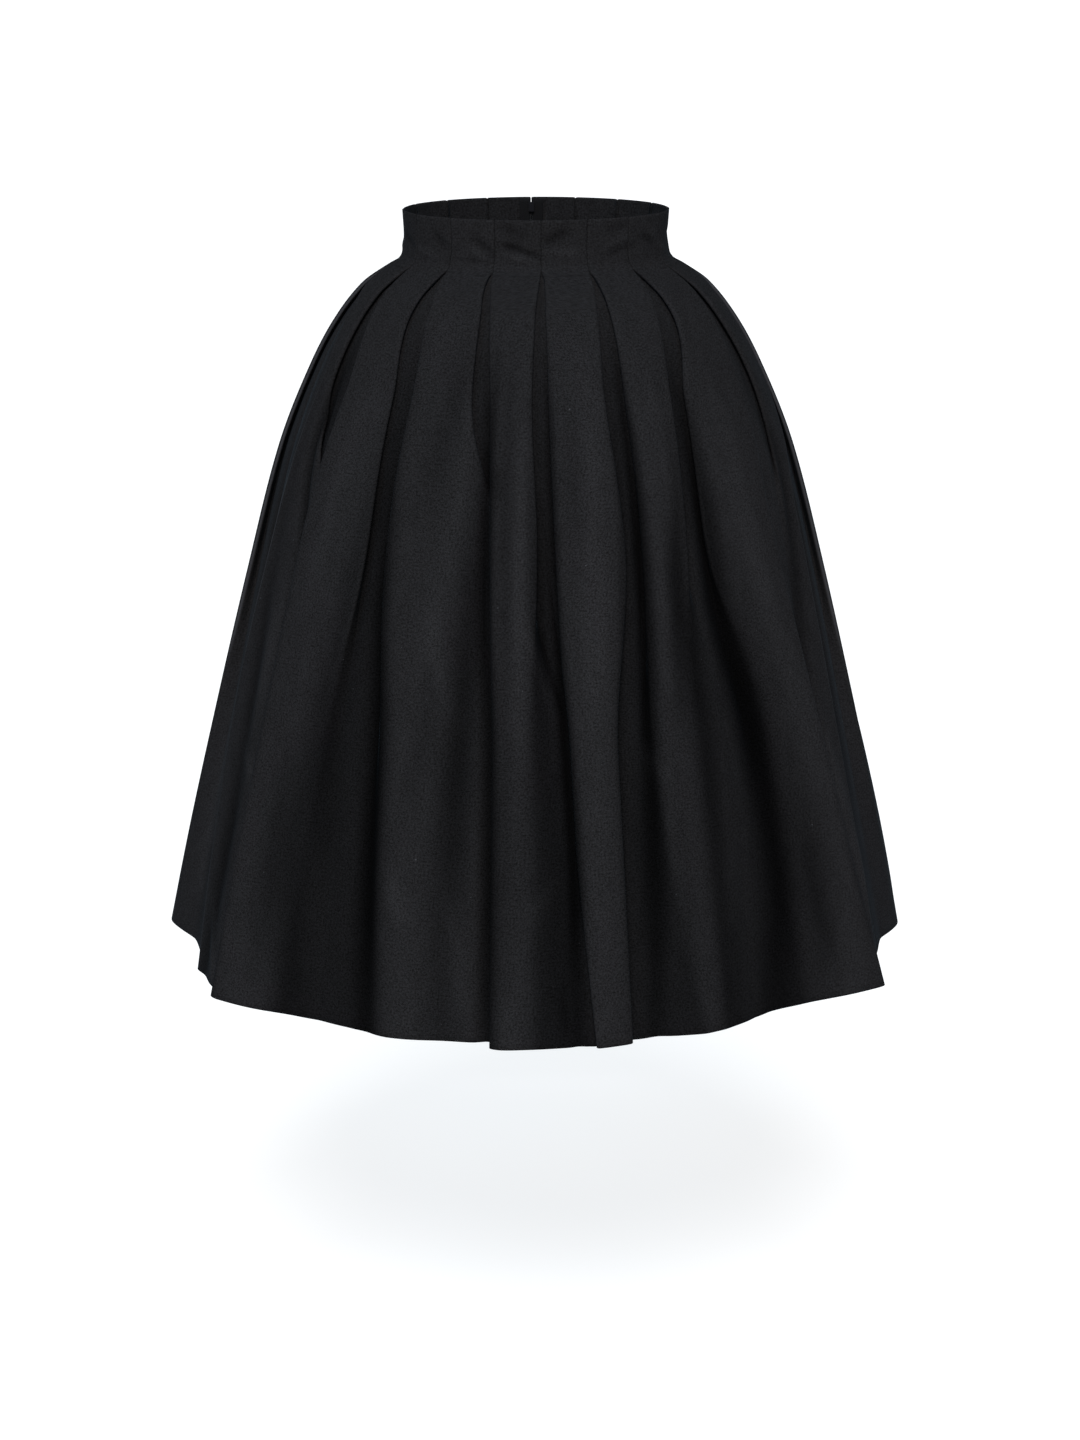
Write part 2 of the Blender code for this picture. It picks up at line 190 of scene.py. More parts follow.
# %% [markdown]
# ## Sixteen pleats
#
# An inverted box pleat brings two folds together and hides the cloth between them. All sixteen
# are stitched shut in the waist, spring open below it and then fall in their own way. One row
# of the table describes one fold edge at five levels: where it lies, how far the cloth turns
# back behind it, how far it stands off the body and how deep the next layer lies.

# %% One row for each fold edge, angles in degrees, the rest in millimetres
COLUMNS = ("pleat", "edge", "hip", "seat", "thigh", "knee", "hem", "tuck_thigh", "tuck_knee",
           "tuck_hem", "stand_thigh", "stand_hem", "depth_thigh", "depth_hem")
FOLDS = (
    (-7, "left", -165, -164.4, -165, -166, -167.5, 15, 13, 13, 0, -2, 9, 9),
    (-7, "right", -159, -157, -156, -156.5, -153, 9, -8, -40, 0, -6, 9, 8),
    (-6, "left", -144, -141, -139.5, -139, -141, 8, -12, -34, 0, -6, 9, 11),
    (-6, "right", -137, -134, -133, -131.5, -130, 15, 14, 16, 2, 10, 9, 20),
    (-5, "left", -121, -118, -117, -116.5, -115.5, 10, -6, -22, 0, -6, 9, 12),
    (-5, "right", -113, -110, -108, -106.5, -105, 10, -8, -22, 0, -2, 9, 14),
    (-4, "left", -90, -88.5, -86, -88, -93.5, 12, -4, -52, 0, 2, 9, 27),
    (-4, "right", -78, -70, -71, -73.5, -69.5, 13, 13, 14, 0, -9, 9, 16),
    (-3, "left", -65.5, -64.5, -55.8, -56.5, -56.8, -4, -5, -6, -6, 1, 2, 2),
    (-3, "right", -60.5, -56.1, -57, -57.8, -57.6, 24, 24, 24, 3, 13, 10, 14),
    (-2, "left", -43.6, -39.8, -38.8, -42.5, -46, 8, -14, -48, 0, -8, 9, 11),
    (-2, "right", -36.5, -34, -34.3, -31.4, -28, 8, -6, -30, 0, -13, 9, 6),
    (-1, "left", -19.6, -18.3, -10.8, -9.5, -9, -5, -8, -8, -6, -12, 2, 2),
    (-1, "right", -16.2, -13.6, -11.9, -10.2, -9.4, 20, 22, 24, 1, 5, 9, 19),
    (0, "left", -2.9, -3.7, -2.6, -3.4, -3, 12, -26, -36, 0, 1, 9, 4),
    (0, "right", 0.7, 0.6, 1.2, 2.8, 5.9, 15, 12, 8, 0, 1, 9, 6.5),
    (1, "left", 16.2, 14, 15.2, 11.3, 11.2, 15, 12, 12, 0, -3, 9, 10),
    (1, "right", 20.8, 19.7, 19.4, 18, 22.8, 10, -6, -42, 0, -6, 9, 7),
    (2, "left", 36.6, 31.8, 29, 26.4, 26.5, 6, -36, -40, 0, -8, 9, 11),
    (2, "right", 43.3, 36.6, 34.2, 42, 43, 6, -18, -42, 0, -12, 9, 7),
    (3, "left", 61.5, 58.3, 53.2, 54.5, 57.8, 17, 16, 18, 3, 17, 10, 30),
    (3, "right", 66, 67.5, 62.5, 60.5, 62, -6, -10, -10, -3, -9, 4, 4),
    (4, "left", 79, 79, 67.5, 65.5, 65, 15, 10, -12, 0, -8, 9, 10),
    (4, "right", 90, 88, 83, 82.5, 87, 12, -4, -44, 0, -2, 9, 19),
    (5, "left", 108, 104, 101, 100, 101, 10, -5, -30, 0, 0, 9, 13),
    (5, "right", 114, 110.5, 109, 111, 113, 14, 12, 14, 1, 8, 9, 21),
    (6, "left", 131, 129, 128, 128, 129, 10, -8, -24, 0, -4, 9, 10),
    (6, "right", 137, 134, 134, 137, 139, 12, 4, -20, 0, -3, 9, 11),
    (7, "left", 156, 154, 153, 152, 151, 12, -10, -30, 0, -8, 9, 8),
    (7, "right", 162, 160, 159, 158.5, 158, 16, 14, 14, 2, 4, 9, 20),
    (8, "left", 178, 177.6, 177.6, 177.2, 176.5, 15, 13, 12, 0, 0, 9, 8),
    (8, "right", 182.4, 182.6, 182.6, 182.6, 183.5, 15, 2, -14, 0, -2, 9, 6),
)
print(len(FOLDS), "fold edges")

# %% Sizes that all the pleats share
OPEN_AT_SPRING = 0.0028
TUCK_AT_HIP = 0.016
TUCK_AT_SEAT = 0.018
DEPTH_AT_SPRING = 0.0040
DEPTH_AT_SEAT = 0.0066
MOST_OF_FACE = 0.43
PRESSED_CUTS = (0.0030, 0.0040, 0.0060, 0.0090)
OPEN_CUT = 0.030
SHUT_TUCK = 0.003
OPEN_TUCK = -0.006
FOLD_LEVELS = (YOKE, SPRING, HIP, SEAT, THIGH, KNEE, HEM)
SIDE = {"left": -1, "right": 1}
OPPOSITE = {"left": "right", "right": "left"}
print("cloth folded back at the hip:", 2 * PLEATS * TUCK_AT_HIP, "m")


# %% Where each seam of the waist lies
SECTION_STEPS = 1440


def waist_seams():
    """Angle of each pleat's seam, at equal lengths of cloth round the waist."""
    width, depth = body_section(YOKE)
    fine = np.linspace(0.0, 2 * math.pi, SECTION_STEPS + 1)
    rate = arc_rate(fine, width, depth)
    length = np.concatenate(([0.0], np.cumsum((rate[1:] + rate[:-1]) / 2 * np.diff(fine))))
    wanted = np.arange(PLEATS) * length[-1] / PLEATS
    angles = np.interp(wanted, length, fine)
    return {pleat: (angles[pleat] if pleat >= 0 else angles[pleat + PLEATS] - 2 * math.pi)
            for pleat in range(-PLEATS // 2 + 1, PLEATS // 2 + 1)}


SEAMS = waist_seams()
print("seams in degrees:", [round(math.degrees(a), 1) for a in sorted(SEAMS.values())])


# %% One fold edge at every height
def fold_edge(pleat, edge, z):
    """Angle, stand, tuck and depth of one fold edge, also of pleats counted past the back."""
    turns = (pleat + PLEATS // 2 - 1) // PLEATS
    pleat -= turns * PLEATS
    row = next(dict(zip(COLUMNS, r)) for r in FOLDS if r[:2] == (pleat, edge))
    seam = SEAMS[pleat]
    opened = seam + SIDE[edge] * OPEN_AT_SPRING / arc_rate(seam, *body_section(SPRING))
    angles = [seam, opened]
    angles += [math.radians(row[level]) for level in ("hip", "seat", "thigh", "knee", "hem")]
    tucks = [0.0, 0.0, TUCK_AT_HIP, TUCK_AT_SEAT]
    tucks += [row[level] * MM for level in ("tuck_thigh", "tuck_knee", "tuck_hem")]
    depths = (0.0, DEPTH_AT_SPRING, 2 * LAYER, DEPTH_AT_SEAT, row["depth_thigh"] * MM,
              row["depth_hem"] * MM)
    angle = smooth(FOLD_LEVELS, angles, z) + turns * 2 * math.pi
    tuck = smooth(FOLD_LEVELS, tucks, z)
    depth = smooth((YOKE, SPRING, HIP, SEAT, THIGH, HEM), depths, z) * steepness(z)
    stand = smooth((SEAT, THIGH, HEM),
                   (0.0, row["stand_thigh"] * MM, row["stand_hem"] * MM), z)
    return angle, stand, tuck, depth


print("first fold at the hem:", fold_edge(0, "right", np.array([HEM]))[0])

# %% [markdown]
# ## From fold edges to cloth
#
# Between two fold edges the cloth takes a rounded turn: tight where the pleat is pressed shut,
# wide where it opens into a wave. A cubic Bezier curve does both, and its handles grow shorter as
# the turn opens. More points follow each turn here than in the solids, so it reads as cloth.

# %% How finely the cloth is sampled
TURN_POINTS = 10
INNER_POINTS = 7
INNER_RUN = 2
RETURN_RUN = 3
FACE_POINTS = 20
SPANS = (
    (WAIST_TOP, -0.013, 0.0020),
    (-0.013, -0.060, 0.0017),
    (-0.060, -0.190, 0.0048),
    (-0.190, HEM, 0.0073),
)


def fine_levels():
    """Heights of the rings of the cloth, close together where it changes fast."""
    levels = [WAIST_TOP]
    for top, bottom, step in SPANS:
        count = round((top - bottom) / step)
        levels += [top + (bottom - top) * (i + 1) / count for i in range(count)]
    return np.array(levels)


HEIGHTS = fine_levels()
print(len(HEIGHTS), "rings")


# %% Curves and straight runs, at all heights at once
TURN_MOST = 0.45


def bezier(a, b, c, d, count):
    """Points along a cubic curve, with both of its ends."""
    t = np.linspace(0.0, 1.0, count)[None, :, None]
    a, b, c, d = (p[:, None, :] for p in (a, b, c, d))
    return (1 - t)**3 * a + 3 * (1 - t)**2 * t * b + 3 * (1 - t) * t**2 * c + t**3 * d


def run(start, end, count):
    """Points strictly between two ends."""
    t = (np.arange(count) + 1)[None, :, None] / (count + 1)
    return start[:, None, :] * (1 - t) + end[:, None, :] * t


def turn(before, first, second, after, cut, shut, count):
    """Cloth going round a fold, which takes up part of the run before and after it."""
    reach_in = np.linalg.norm(before - first, axis=1)
    reach_out = np.linalg.norm(after - second, axis=1)
    cut = np.minimum(cut, TURN_MOST * np.minimum(reach_in, reach_out))[:, None]
    inward = unit(before - first)
    onward = unit(after - second)
    swell = cut / 3 * shut[:, None]
    return bezier(first + inward * cut, first - inward * swell,
                  second - onward * swell, second + onward * cut, count)


print("points between 0 and 1:", run(np.zeros((1, 1)), np.ones((1, 1)), 3).ravel())

# %% [markdown]
# In the stitched waist the solids close each pleat to a line. Real stitching pulls the cloth into
# a small groove, so the points that form the pleat lower down spread over that groove here.

# %% Corners of one side of a pleat
NOTCH_HALF = 0.0015
NOTCH_DEPTH = 0.0006
PATH_POINTS = INNER_RUN + INNER_POINTS + RETURN_RUN + TURN_POINTS
PATH_COUNT = np.arange(PATH_POINTS) + 1
PATH_SHARE = PATH_COUNT / PATH_POINTS


def corners(pleat, edge, z):
    """Corners of the cloth on one side of a pleat, as (length round, stand) in metres."""
    angle, stand, tuck, depth = fold_edge(pleat, edge, z)
    rate = arc_rate(angle, *body_section(z))
    next_angle, next_stand = fold_edge(pleat + SIDE[edge], OPPOSITE[edge], z)[:2]
    tuck = np.minimum(tuck, MOST_OF_FACE * np.abs(next_angle - angle) * rate)
    shut = share_of(tuck, OPEN_TUCK, SHUT_TUCK)
    layer = np.minimum(LAYER * steepness(z), depth / 2) * shut
    inner = angle + SIDE[edge] * tuck / rate
    spots = {"inner_low": (inner, stand - depth), "inner_high": (inner, stand - depth + layer),
             "edge_low": (angle, stand - layer), "edge_high": (angle, stand),
             "next_edge": (next_angle, next_stand)}
    found = {spot: np.stack((at * rate, off), axis=1) for spot, (at, off) in spots.items()}
    return {"rate": rate, "shut": shut, **found}


print("points on each side of a pleat:", PATH_POINTS)


# %% The cloth from the middle of a pleat out to its box
def pleat_side(pleat, edge, z):
    """Angle and stand of the pleat's middle and of its path, and how shut it lies."""
    half = corners(pleat, edge, z)
    other = corners(pleat, OPPOSITE[edge], z)
    rate = half["rate"]
    middle_angle = (half["inner_low"][:, 0] / rate + other["inner_low"][:, 0] / other["rate"]) / 2
    middle_stand = (half["inner_low"][:, 1] + other["inner_low"][:, 1]) / 2
    middle = np.stack((middle_angle * rate, middle_stand), axis=1)
    pressed = smooth((SPRING, SEAT, THIGH, HEM), PRESSED_CUTS, z)
    cut = pressed * half["shut"] + OPEN_CUT * (1 - half["shut"])
    inner = turn(middle, half["inner_low"], half["inner_high"], half["edge_low"],
                 cut, half["shut"], INNER_POINTS)
    outer = turn(half["inner_high"], half["edge_low"], half["edge_high"], half["next_edge"],
                 cut, half["shut"], TURN_POINTS)
    path = np.concatenate((run(middle, inner[:, 0], INNER_RUN), inner,
                           run(inner[:, -1], outer[:, 0], RETURN_RUN), outer), axis=1)
    stitched = ease(share_of(z, SPRING, YOKE))[:, None]
    path[:, :, 0] += SIDE[edge] * stitched * NOTCH_HALF * PATH_SHARE
    path[:, :, 1] -= stitched * NOTCH_DEPTH * (1 - ease(PATH_SHARE))
    middle_stand = middle_stand - stitched[:, 0] * NOTCH_DEPTH
    return middle_angle, middle_stand, path[:, :, 0] / rate[:, None], path[:, :, 1], half["shut"]


print("stand of the first pleat's middle:", pleat_side(0, "right", HEIGHTS)[1].min().round(4))

# %% [markdown]
# ## Creases
#
# Real cloth is never quite smooth. Soft troughs and ridges are listed, first those of the waist
# and then those below it. Each has its two ends on the body, its width and its height, where a
# negative height is a trough. They move every layer that lies at the same place together, so no
# fold cuts through the next one.

# %% One row for each crease: angles in degrees, the rest in millimetres
CREASE_COLUMNS = ("from_angle", "from_z", "to_angle", "to_z", "width", "height")
CREASE_TIP = 0.02
CREASE_FADE = 0.6
CREASES = (
    (-17, 6.5, -7, 2, 3.4, -2.8),
    (-8, 1, 0, -3.5, 2.8, -2.2),
    (-14, -3, -3, -7.5, 2.8, 1.3),
    (-19, 26, -5, 12, 6, -1.1),
    (0.4, 7, 12, 21, 5, -2),
    (3, 1, 18, -0.5, 4.5, 1),
    (-30.5, 14, -20, -3, 3.6, -1.6),
    (-31, 4, -24, -7, 2.8, 1.1),
    (-38, -7, -22, -9, 2.4, -0.8),
    (29, -4, 46, 5, 3.4, -1.3),
    (27, 4, 42, 14, 4, 0.9),
    (28, 19, 41, 23, 4, -0.8),
    (49, 13, 64, -2, 3.8, -1.4),
    (52, 20, 62, 8, 3.2, 0.9),
    (-52, 15, -42, -2, 4.6, -1.2),
    (-64, 0, -48, -8, 3, 0.9),
    (58, 6, 74, -7, 3.2, 1),
    (-82, 10, -68, -2, 4, -1.3),
    (-96, 2, -80, -8, 3.2, 1),
    (82, 16, 94, 0, 3.6, -1.3),
    (100, 8, 116, -4, 4.2, -1.2),
    (104, 0, 120, -9, 3, 0.9),
    (-118, 12, -104, -3, 4, -1.2),
    (-130, -2, -112, -9, 3, 0.9),
    (128, 4, 142, 18, 4.2, -1),
    (-150, 14, -136, 2, 3.8, -1.3),
    (146, -6, 164, -2, 3, -0.9),
    (-170, -4, -154, 4, 3.4, -1),
    (168, 12, 177, 2, 3.6, -1.2),
    (-19, -60, -27, -220, 14, -1.2),
    (-24, -300, -16, -420, 10, 1.1),
    (-22, -330, -25, -500, 12, -1.4),
    (-27, -530, -24, -580, 8, 1.2),
    (-17, -540, -14, -660, 11, 1.6),
    (-6, -390, -7, -640, 12, -1.4),
    (-5, -130, -6, -330, 8, 1.0),
    (-12, -176, -10, -205, 6, -1.5),
    (7, -100, 6, -260, 12, -0.9),
    (10, -240, 8, -380, 9, 1.1),
    (-4, -562, 1, -528, 6, 1.6),
    (1.4, -615, 1.2, -676, 5, -1.8),
    (4, -560, 3.4, -676, 7, 1.4),
    (-3.4, -300, 2.4, -392, 2.6, -2.6),
    (-5, -302, 0.6, -396, 4, 1.4),
    (17, -420, 19, -452, 6, 1.8),
    (16, -450, 15, -600, 10, -1.6),
    (25, -290, 23, -420, 9, -1.5),
    (27, -90, 26, -240, 9, 0.8),
    (39, -300, 41, -470, 14, -1.6),
    (45, -110, 47, -320, 12, 1.1),
    (34, -420, 30, -600, 13, 1.8),
    (47, -520, 49, -660, 11, -1.6),
    (60, -430, 66, -640, 9, 1.9),
    (70, -300, 74, -520, 13, -1.8),
    (-42, -400, -40, -560, 12, -1.5),
    (-47, -100, -52, -330, 13, 1.0),
    (-50, -430, -51, -640, 14, -1.6),
    (-66, -455, -58, -486, 6, 1.2),
    (-68, -600, -61, -676, 7, 1.9),
    (-62, -300, -66, -520, 11, 1.5),
    (-76, -180, -80, -420, 13, -0.8),
    (-84, -420, -86, -650, 12, 1.8),
    (82, -140, 78, -360, 12, -0.8),
    (88, -460, 90, -660, 11, 1.9),
    (96, -150, 94, -340, 13, 1.3),
    (106, -380, 107, -600, 12, -1.8),
    (118, -110, 121, -300, 12, -1.2),
    (122, -430, 120, -640, 13, 1.7),
    (134, -260, 133, -420, 10, 1.4),
    (146, -120, 145, -330, 13, -1.3),
    (144, -470, 147, -660, 12, 1.8),
    (154, -520, 156, -600, 9, -1.6),
    (166, -130, 168, -360, 12, 1.1),
    (168, -420, 166, -640, 13, -1.7),
    (179, -180, 181, -330, 9, -1.2),
    (-172, -140, -171, -350, 12, -1.2),
    (-174, -450, -172, -660, 12, 1.7),
    (-160, -480, -161, -640, 9, -1.6),
    (-150, -130, -148, -330, 13, 1.3),
    (-147, -410, -146, -610, 12, -1.8),
    (-136, -340, -137, -500, 9, 1.5),
    (-126, -120, -124, -330, 12, -1.3),
    (-124, -480, -122, -660, 12, 1.8),
    (-110, -430, -109, -560, 10, -1.7),
    (-102, -140, -99, -360, 13, 1.4),
    (-98, -500, -97, -670, 11, -1.7),
)
print(len(CREASES), "creases")

# %% [markdown]
# The skirt also falls in broad soft waves. Each one starts flat at the hips and has its own
# angle in degrees and height in millimetres at five levels below them. The low ones run beside
# the folds, where the pleats have opened, and the high ones along the middle of the boxes.

# %% One row for each wave: five angles, five heights, and its width at the hips and the hem
WAVE_LEVELS = (-0.060, -0.165, -0.290, -0.420, -0.550, HEM)
WAVES = (
    (-68, -68, -66, -65.5, -66, -0.5, -1.5, -3.4, -4, -3, 7, 16),
    (-63, -58.7, -58.6, -59, -58, -4, -4, -3.6, -3.4, -2, 5, 7),
    (-43, -47, -50.6, -53.8, -52, 0.4, 0.2, 0.2, 0.3, 0.6, 8, 20),
    (-38, -41, -43.8, -46.4, -43.5, -1, -1.8, -2.6, -2.8, -1.4, 8, 20),
    (-34.6, -34.2, -31.8, -31, -29.4, -1.5, -5.6, -7, -6.4, -3.4, 6, 15),
    (-18.5, -21.8, -24.7, -23.8, -23, 0.6, 0.6, 0.8, 0.2, 0.4, 8, 18),
    (-14, -15.3, -16.3, -16.9, -17, -0.8, -3, -4.4, -2.8, -1.4, 8, 20),
    (-13, -12.6, -10.8, -10.3, -10, -4, -6.5, -6.5, -6.5, -4.2, 5, 9),
    (-5.1, -5.7, -5.8, -6.6, -6.5, 0.4, 0.8, 1, 0.8, 0.6, 6, 11),
    (-9, -8.6, -8, -8, -8, -1.2, -1, -0.8, -0.6, 0, 6, 8),
    (-3.8, -2.6, -1.2, 0.6, 0, -1, -2.6, -1.4, -2, -1, 4, 16),
    (0.8, 1.2, 2.6, 3.5, 3.4, -3, -3.2, -6, -6, -3, 3, 8),
    (9, 7.5, 7.1, 7.1, 7, 1.4, 1, 0.8, 0.6, 0.4, 14, 10),
    (15.5, 14.1, 11.6, 11.3, 11, -1.6, -2, -1.6, -1, -0.5, 4, 6),
    (19.2, 18.8, 17.6, 17, 15.4, -4.6, -6, -5.4, -4, -2, 4, 10),
    (22.2, 22, 22, 22, 21, 0.6, 0.6, 0, -0.8, 0, 6, 14),
    (29, 26, 27.7, 28, 27, -1.2, -4.2, -1.4, -0.9, -0.8, 7, 18),
    (31, 30.8, 32.4, 34, 32, 0, 1.4, 1.4, 1, 0.6, 6, 14),
    (35.2, 35.2, 39.8, 41.4, 38, -3.2, -5.2, -5.8, -5.4, -2.8, 6, 21),
    (44, 44, 45, 47.6, 45, 0, 0, -0.8, -1.6, -1, 10, 18),
    (40, 45.8, 51.2, 54.5, 51, 0.6, 0.8, 0.8, 0.6, 0.8, 9, 22),
    (66, 62, 57.5, 57.5, 60, -2, -2.8, -3.2, -3.2, -1.8, 6, 12),
    (77, 74, 73, 74, 76, -0.6, -1.4, -1.8, -2, -1, 7, 20),
    (93, 92, 92, 93, 94, 1, 2, 2, 2, 1, 10, 22),
    (107, 105, 105.5, 107, 108, -1, -4, -5.4, -5, -2.5, 7, 21),
    (121, 119, 119, 120, 121, 1, 1.5, 2, 2, 1, 10, 20),
    (132, 131, 132, 134, 133, -1.2, -4.5, -5.2, -5, -2.2, 7, 22),
    (145, 144, 145, 146, 145, 0.8, 1.5, 2, 2, 1, 10, 18),
    (157, 156, 155.5, 155, 154, -1.4, -4, -5.4, -5.2, -2.4, 7, 20),
    (168, 169, 168, 167, 168, 1, 1.4, 2, 2, 1.2, 9, 20),
    (180.5, 180, 180, 180, 180.5, -1.2, -3.5, -4.6, -4.8, -2.2, 6, 16),
    (-170, -169, -169, -170, -169, 1, 1.6, 2, 1.8, 1, 9, 18),
    (-161, -160, -160, -159, -160, -1.2, -4.2, -5, -5.2, -2.4, 7, 21),
    (-148, -148, -147, -146, -147, 1, 1.6, 1.8, 2, 1, 10, 20),
    (-138, -136, -135, -136, -136, -1.2, -4.4, -5.4, -5, -2.2, 7, 20),
    (-126, -124, -124, -123, -124, 1, 1.5, 2, 2, 1, 9, 20),
    (-114, -112, -111, -110, -111, -1.2, -4, -5.2, -5.2, -2.4, 7, 21),
    (-98, -98, -99, -100, -99, 1, 1.6, 2, 2, 1, 10, 20),
    (-80, -79, -80, -82, -81, -0.8, -1.2, -1.4, -1.6, -1, 7, 20),
)


def waves(angle, z):
    """Height of the broad waves in millimetres, for arrays of angles and heights."""
    rate = arc_rate(angle, *body_section(z))
    height = np.zeros_like(angle)
    for row in WAVES:
        line, high, widths = row[:5], row[5:10], row[10:]
        middle = smooth(WAVE_LEVELS, np.radians((line[0], *line)), z)
        width = smooth((WAVE_LEVELS[0], HEM), widths, z) * MM
        away = turned_from(middle, angle)
        height += smooth(WAVE_LEVELS, (0.0, *high), z) * np.exp(-(away * rate / width)**2)
    return height


print(len(WAVES), "waves")


# %% Height of the creases at any place
def creases(angle, z):
    """How far creases and waves move the cloth outwards, for arrays of angles and heights."""
    rate = arc_rate(angle, *body_section(z))
    height = np.zeros_like(angle)
    for values in CREASES:
        row = dict(zip(CREASE_COLUMNS, values))
        round_by = turned_from(math.radians(row["from_angle"]), angle) * rate
        up_by = z - row["from_z"] * MM
        long_round = math.radians(row["to_angle"] - row["from_angle"]) * rate
        long_up = (row["to_z"] - row["from_z"]) * MM
        square = np.maximum(long_round**2 + long_up**2, TINY)
        along = np.clip((round_by * long_round + up_by * long_up) / square, 0.0, 1.0)
        aside = np.hypot(round_by - along * long_round, up_by - along * long_up)
        fade = np.sin(math.pi * np.clip(along, CREASE_TIP, 1 - CREASE_TIP))**CREASE_FADE
        height += row["height"] * MM * fade * np.exp(-(aside / (row["width"] * MM))**2)
    return height + waves(angle, z) * MM


print("lift near centre front:", creases(np.full(3, -0.2), np.array([0.01, 0.0, -0.2])).round(4))

# %% [markdown]
# The same heights drive painted shade and highlight in the cloth's colour. Cloth on a ridge is
# painted paler as a highlight, and a hollow is painted darker as shade. The inside of each pleat
# gets the darkest painted shade, and the fold edges at the two sides get the palest painted
# highlight.

# %% Painted shade and highlight, from the cloth's height and its place in the pleat
PAINTED_SHADE_PER_MM = 0.21
RIDGE_HIGHLIGHT_MOST = 1.2
PLEAT_INSIDE_SHADE = (0.92, 0.82, 0.64, 0.54, 0.54)
UNSHADED_PLEATS = (-4, 3, 4)
# painted highlight along the fold edges at the two sides, as a multiple of the fold mark
HIGHLIT_EDGES = {(-4, "left"): 2.5, (-4, "right"): 5.5, (4, "left"): 5.5, (4, "right"): 2.5}
FOLD_BACK = 4.5
FOLD_SPREAD = 2.2
GROOVE_REACH = 0.0009
INSIDE_EASE = 0.35
FOLD_MARK = np.exp(-((PATH_COUNT - PATH_POINTS + FOLD_BACK) / FOLD_SPREAD)**2)
SEAM_MARK = np.exp(-(PATH_SHARE * NOTCH_HALF / GROOVE_REACH)**2)
INSIDE_MARK = ease(share_of(1 - PATH_SHARE, 0.0, INSIDE_EASE))


def painted_light_from_height(lift):
    """Painted light at a height: painted shade below one in a hollow, painted highlight above one
    on a ridge.
    """
    return np.exp(PAINTED_SHADE_PER_MM * np.minimum(lift / MM, RIDGE_HIGHLIGHT_MOST))


print("openness 5 mm deep:", painted_light_from_height(np.array([-5 * MM])).round(2))

# %% Soft fullness between the seams, and the gentle unevenness of both edges
PUFF = 0.0007
TOP_DIP = 0.0007
TOP_REACH = 0.018
HEM_REACH = 0.3
HEM_WAVES = ((3, 0.0012, 0.4), (7, 0.0009, 2.1), (13, 0.0006, 4.0))


def fullness(share, z):
    """How far a box stands out between two seams of the stitched waist."""
    return PUFF * share_of(z, SPRING, 0.0) * np.sin(math.pi * share)


def edge_shift(angle, seam_share, z):
    """How far the top edge dips at its seams and the hem wanders from level."""
    near_top = np.clip(1 - (WAIST_TOP - z) / TOP_REACH, 0.0, 1.0)**2
    near_hem = np.clip(1 - (z - HEM) / HEM_REACH, 0.0, 1.0)**2
    hem = sum(size * np.sin(count * angle + phase) for count, size, phase in HEM_WAVES)
    return -near_top * TOP_DIP * seam_share + near_hem * hem


print("the hem wanders by up to", sum(size for _, size, _ in HEM_WAVES), "m")

# %% [markdown]
# ## A panel as a grid
#
# Four panels are sewn together at centre front, the sides and centre back, each seam hidden in
# the middle of a pleat. A panel is one grid of points: rings down, columns across. Keeping the
# grid lets the shell, the weave's directions and the painted highlight and shade on the folds all
# come from it.

# %% The gap at a seam, and the face of a box
SEAM_HALF = 0.00003
ZIP_HALF = 0.0009
ZIP_SLOT_BOTTOM = 0.014
ZIP_SLOT_TOP = 0.020


def seam_half(pleat, z):
    """Half the gap between two panels at the seam in this pleat, wider at the top of the zip."""
    if abs(pleat) != PLEATS // 2:
        return np.full_like(z, SEAM_HALF)
    return SEAM_HALF + (ZIP_HALF - SEAM_HALF) * ease(share_of(z, ZIP_SLOT_BOTTOM, ZIP_SLOT_TOP))


def box_face(start_a, start_s, end_a, end_s, tall):
    """Face of a box from fold to fold, halfway between the body's curve and a straight line."""
    share = (np.arange(FACE_POINTS) + 1)[None, :] / (FACE_POINTS + 1)
    angle = start_a * (1 - share) + end_a * share
    stand = start_s * (1 - share) + end_s * share
    start = place(start_a, start_s, tall)
    end = place(end_a, end_s, tall)
    straight = start * (1 - share[..., None]) + end * share[..., None]
    points = (place(angle, stand, tall) + straight) / 2
    return angle, stand, points + outward(angle, tall) * fullness(share, tall)[..., None]


print("gap at the top of the zip:", 2 * seam_half(PLEATS // 2, np.array([WAIST_TOP])))


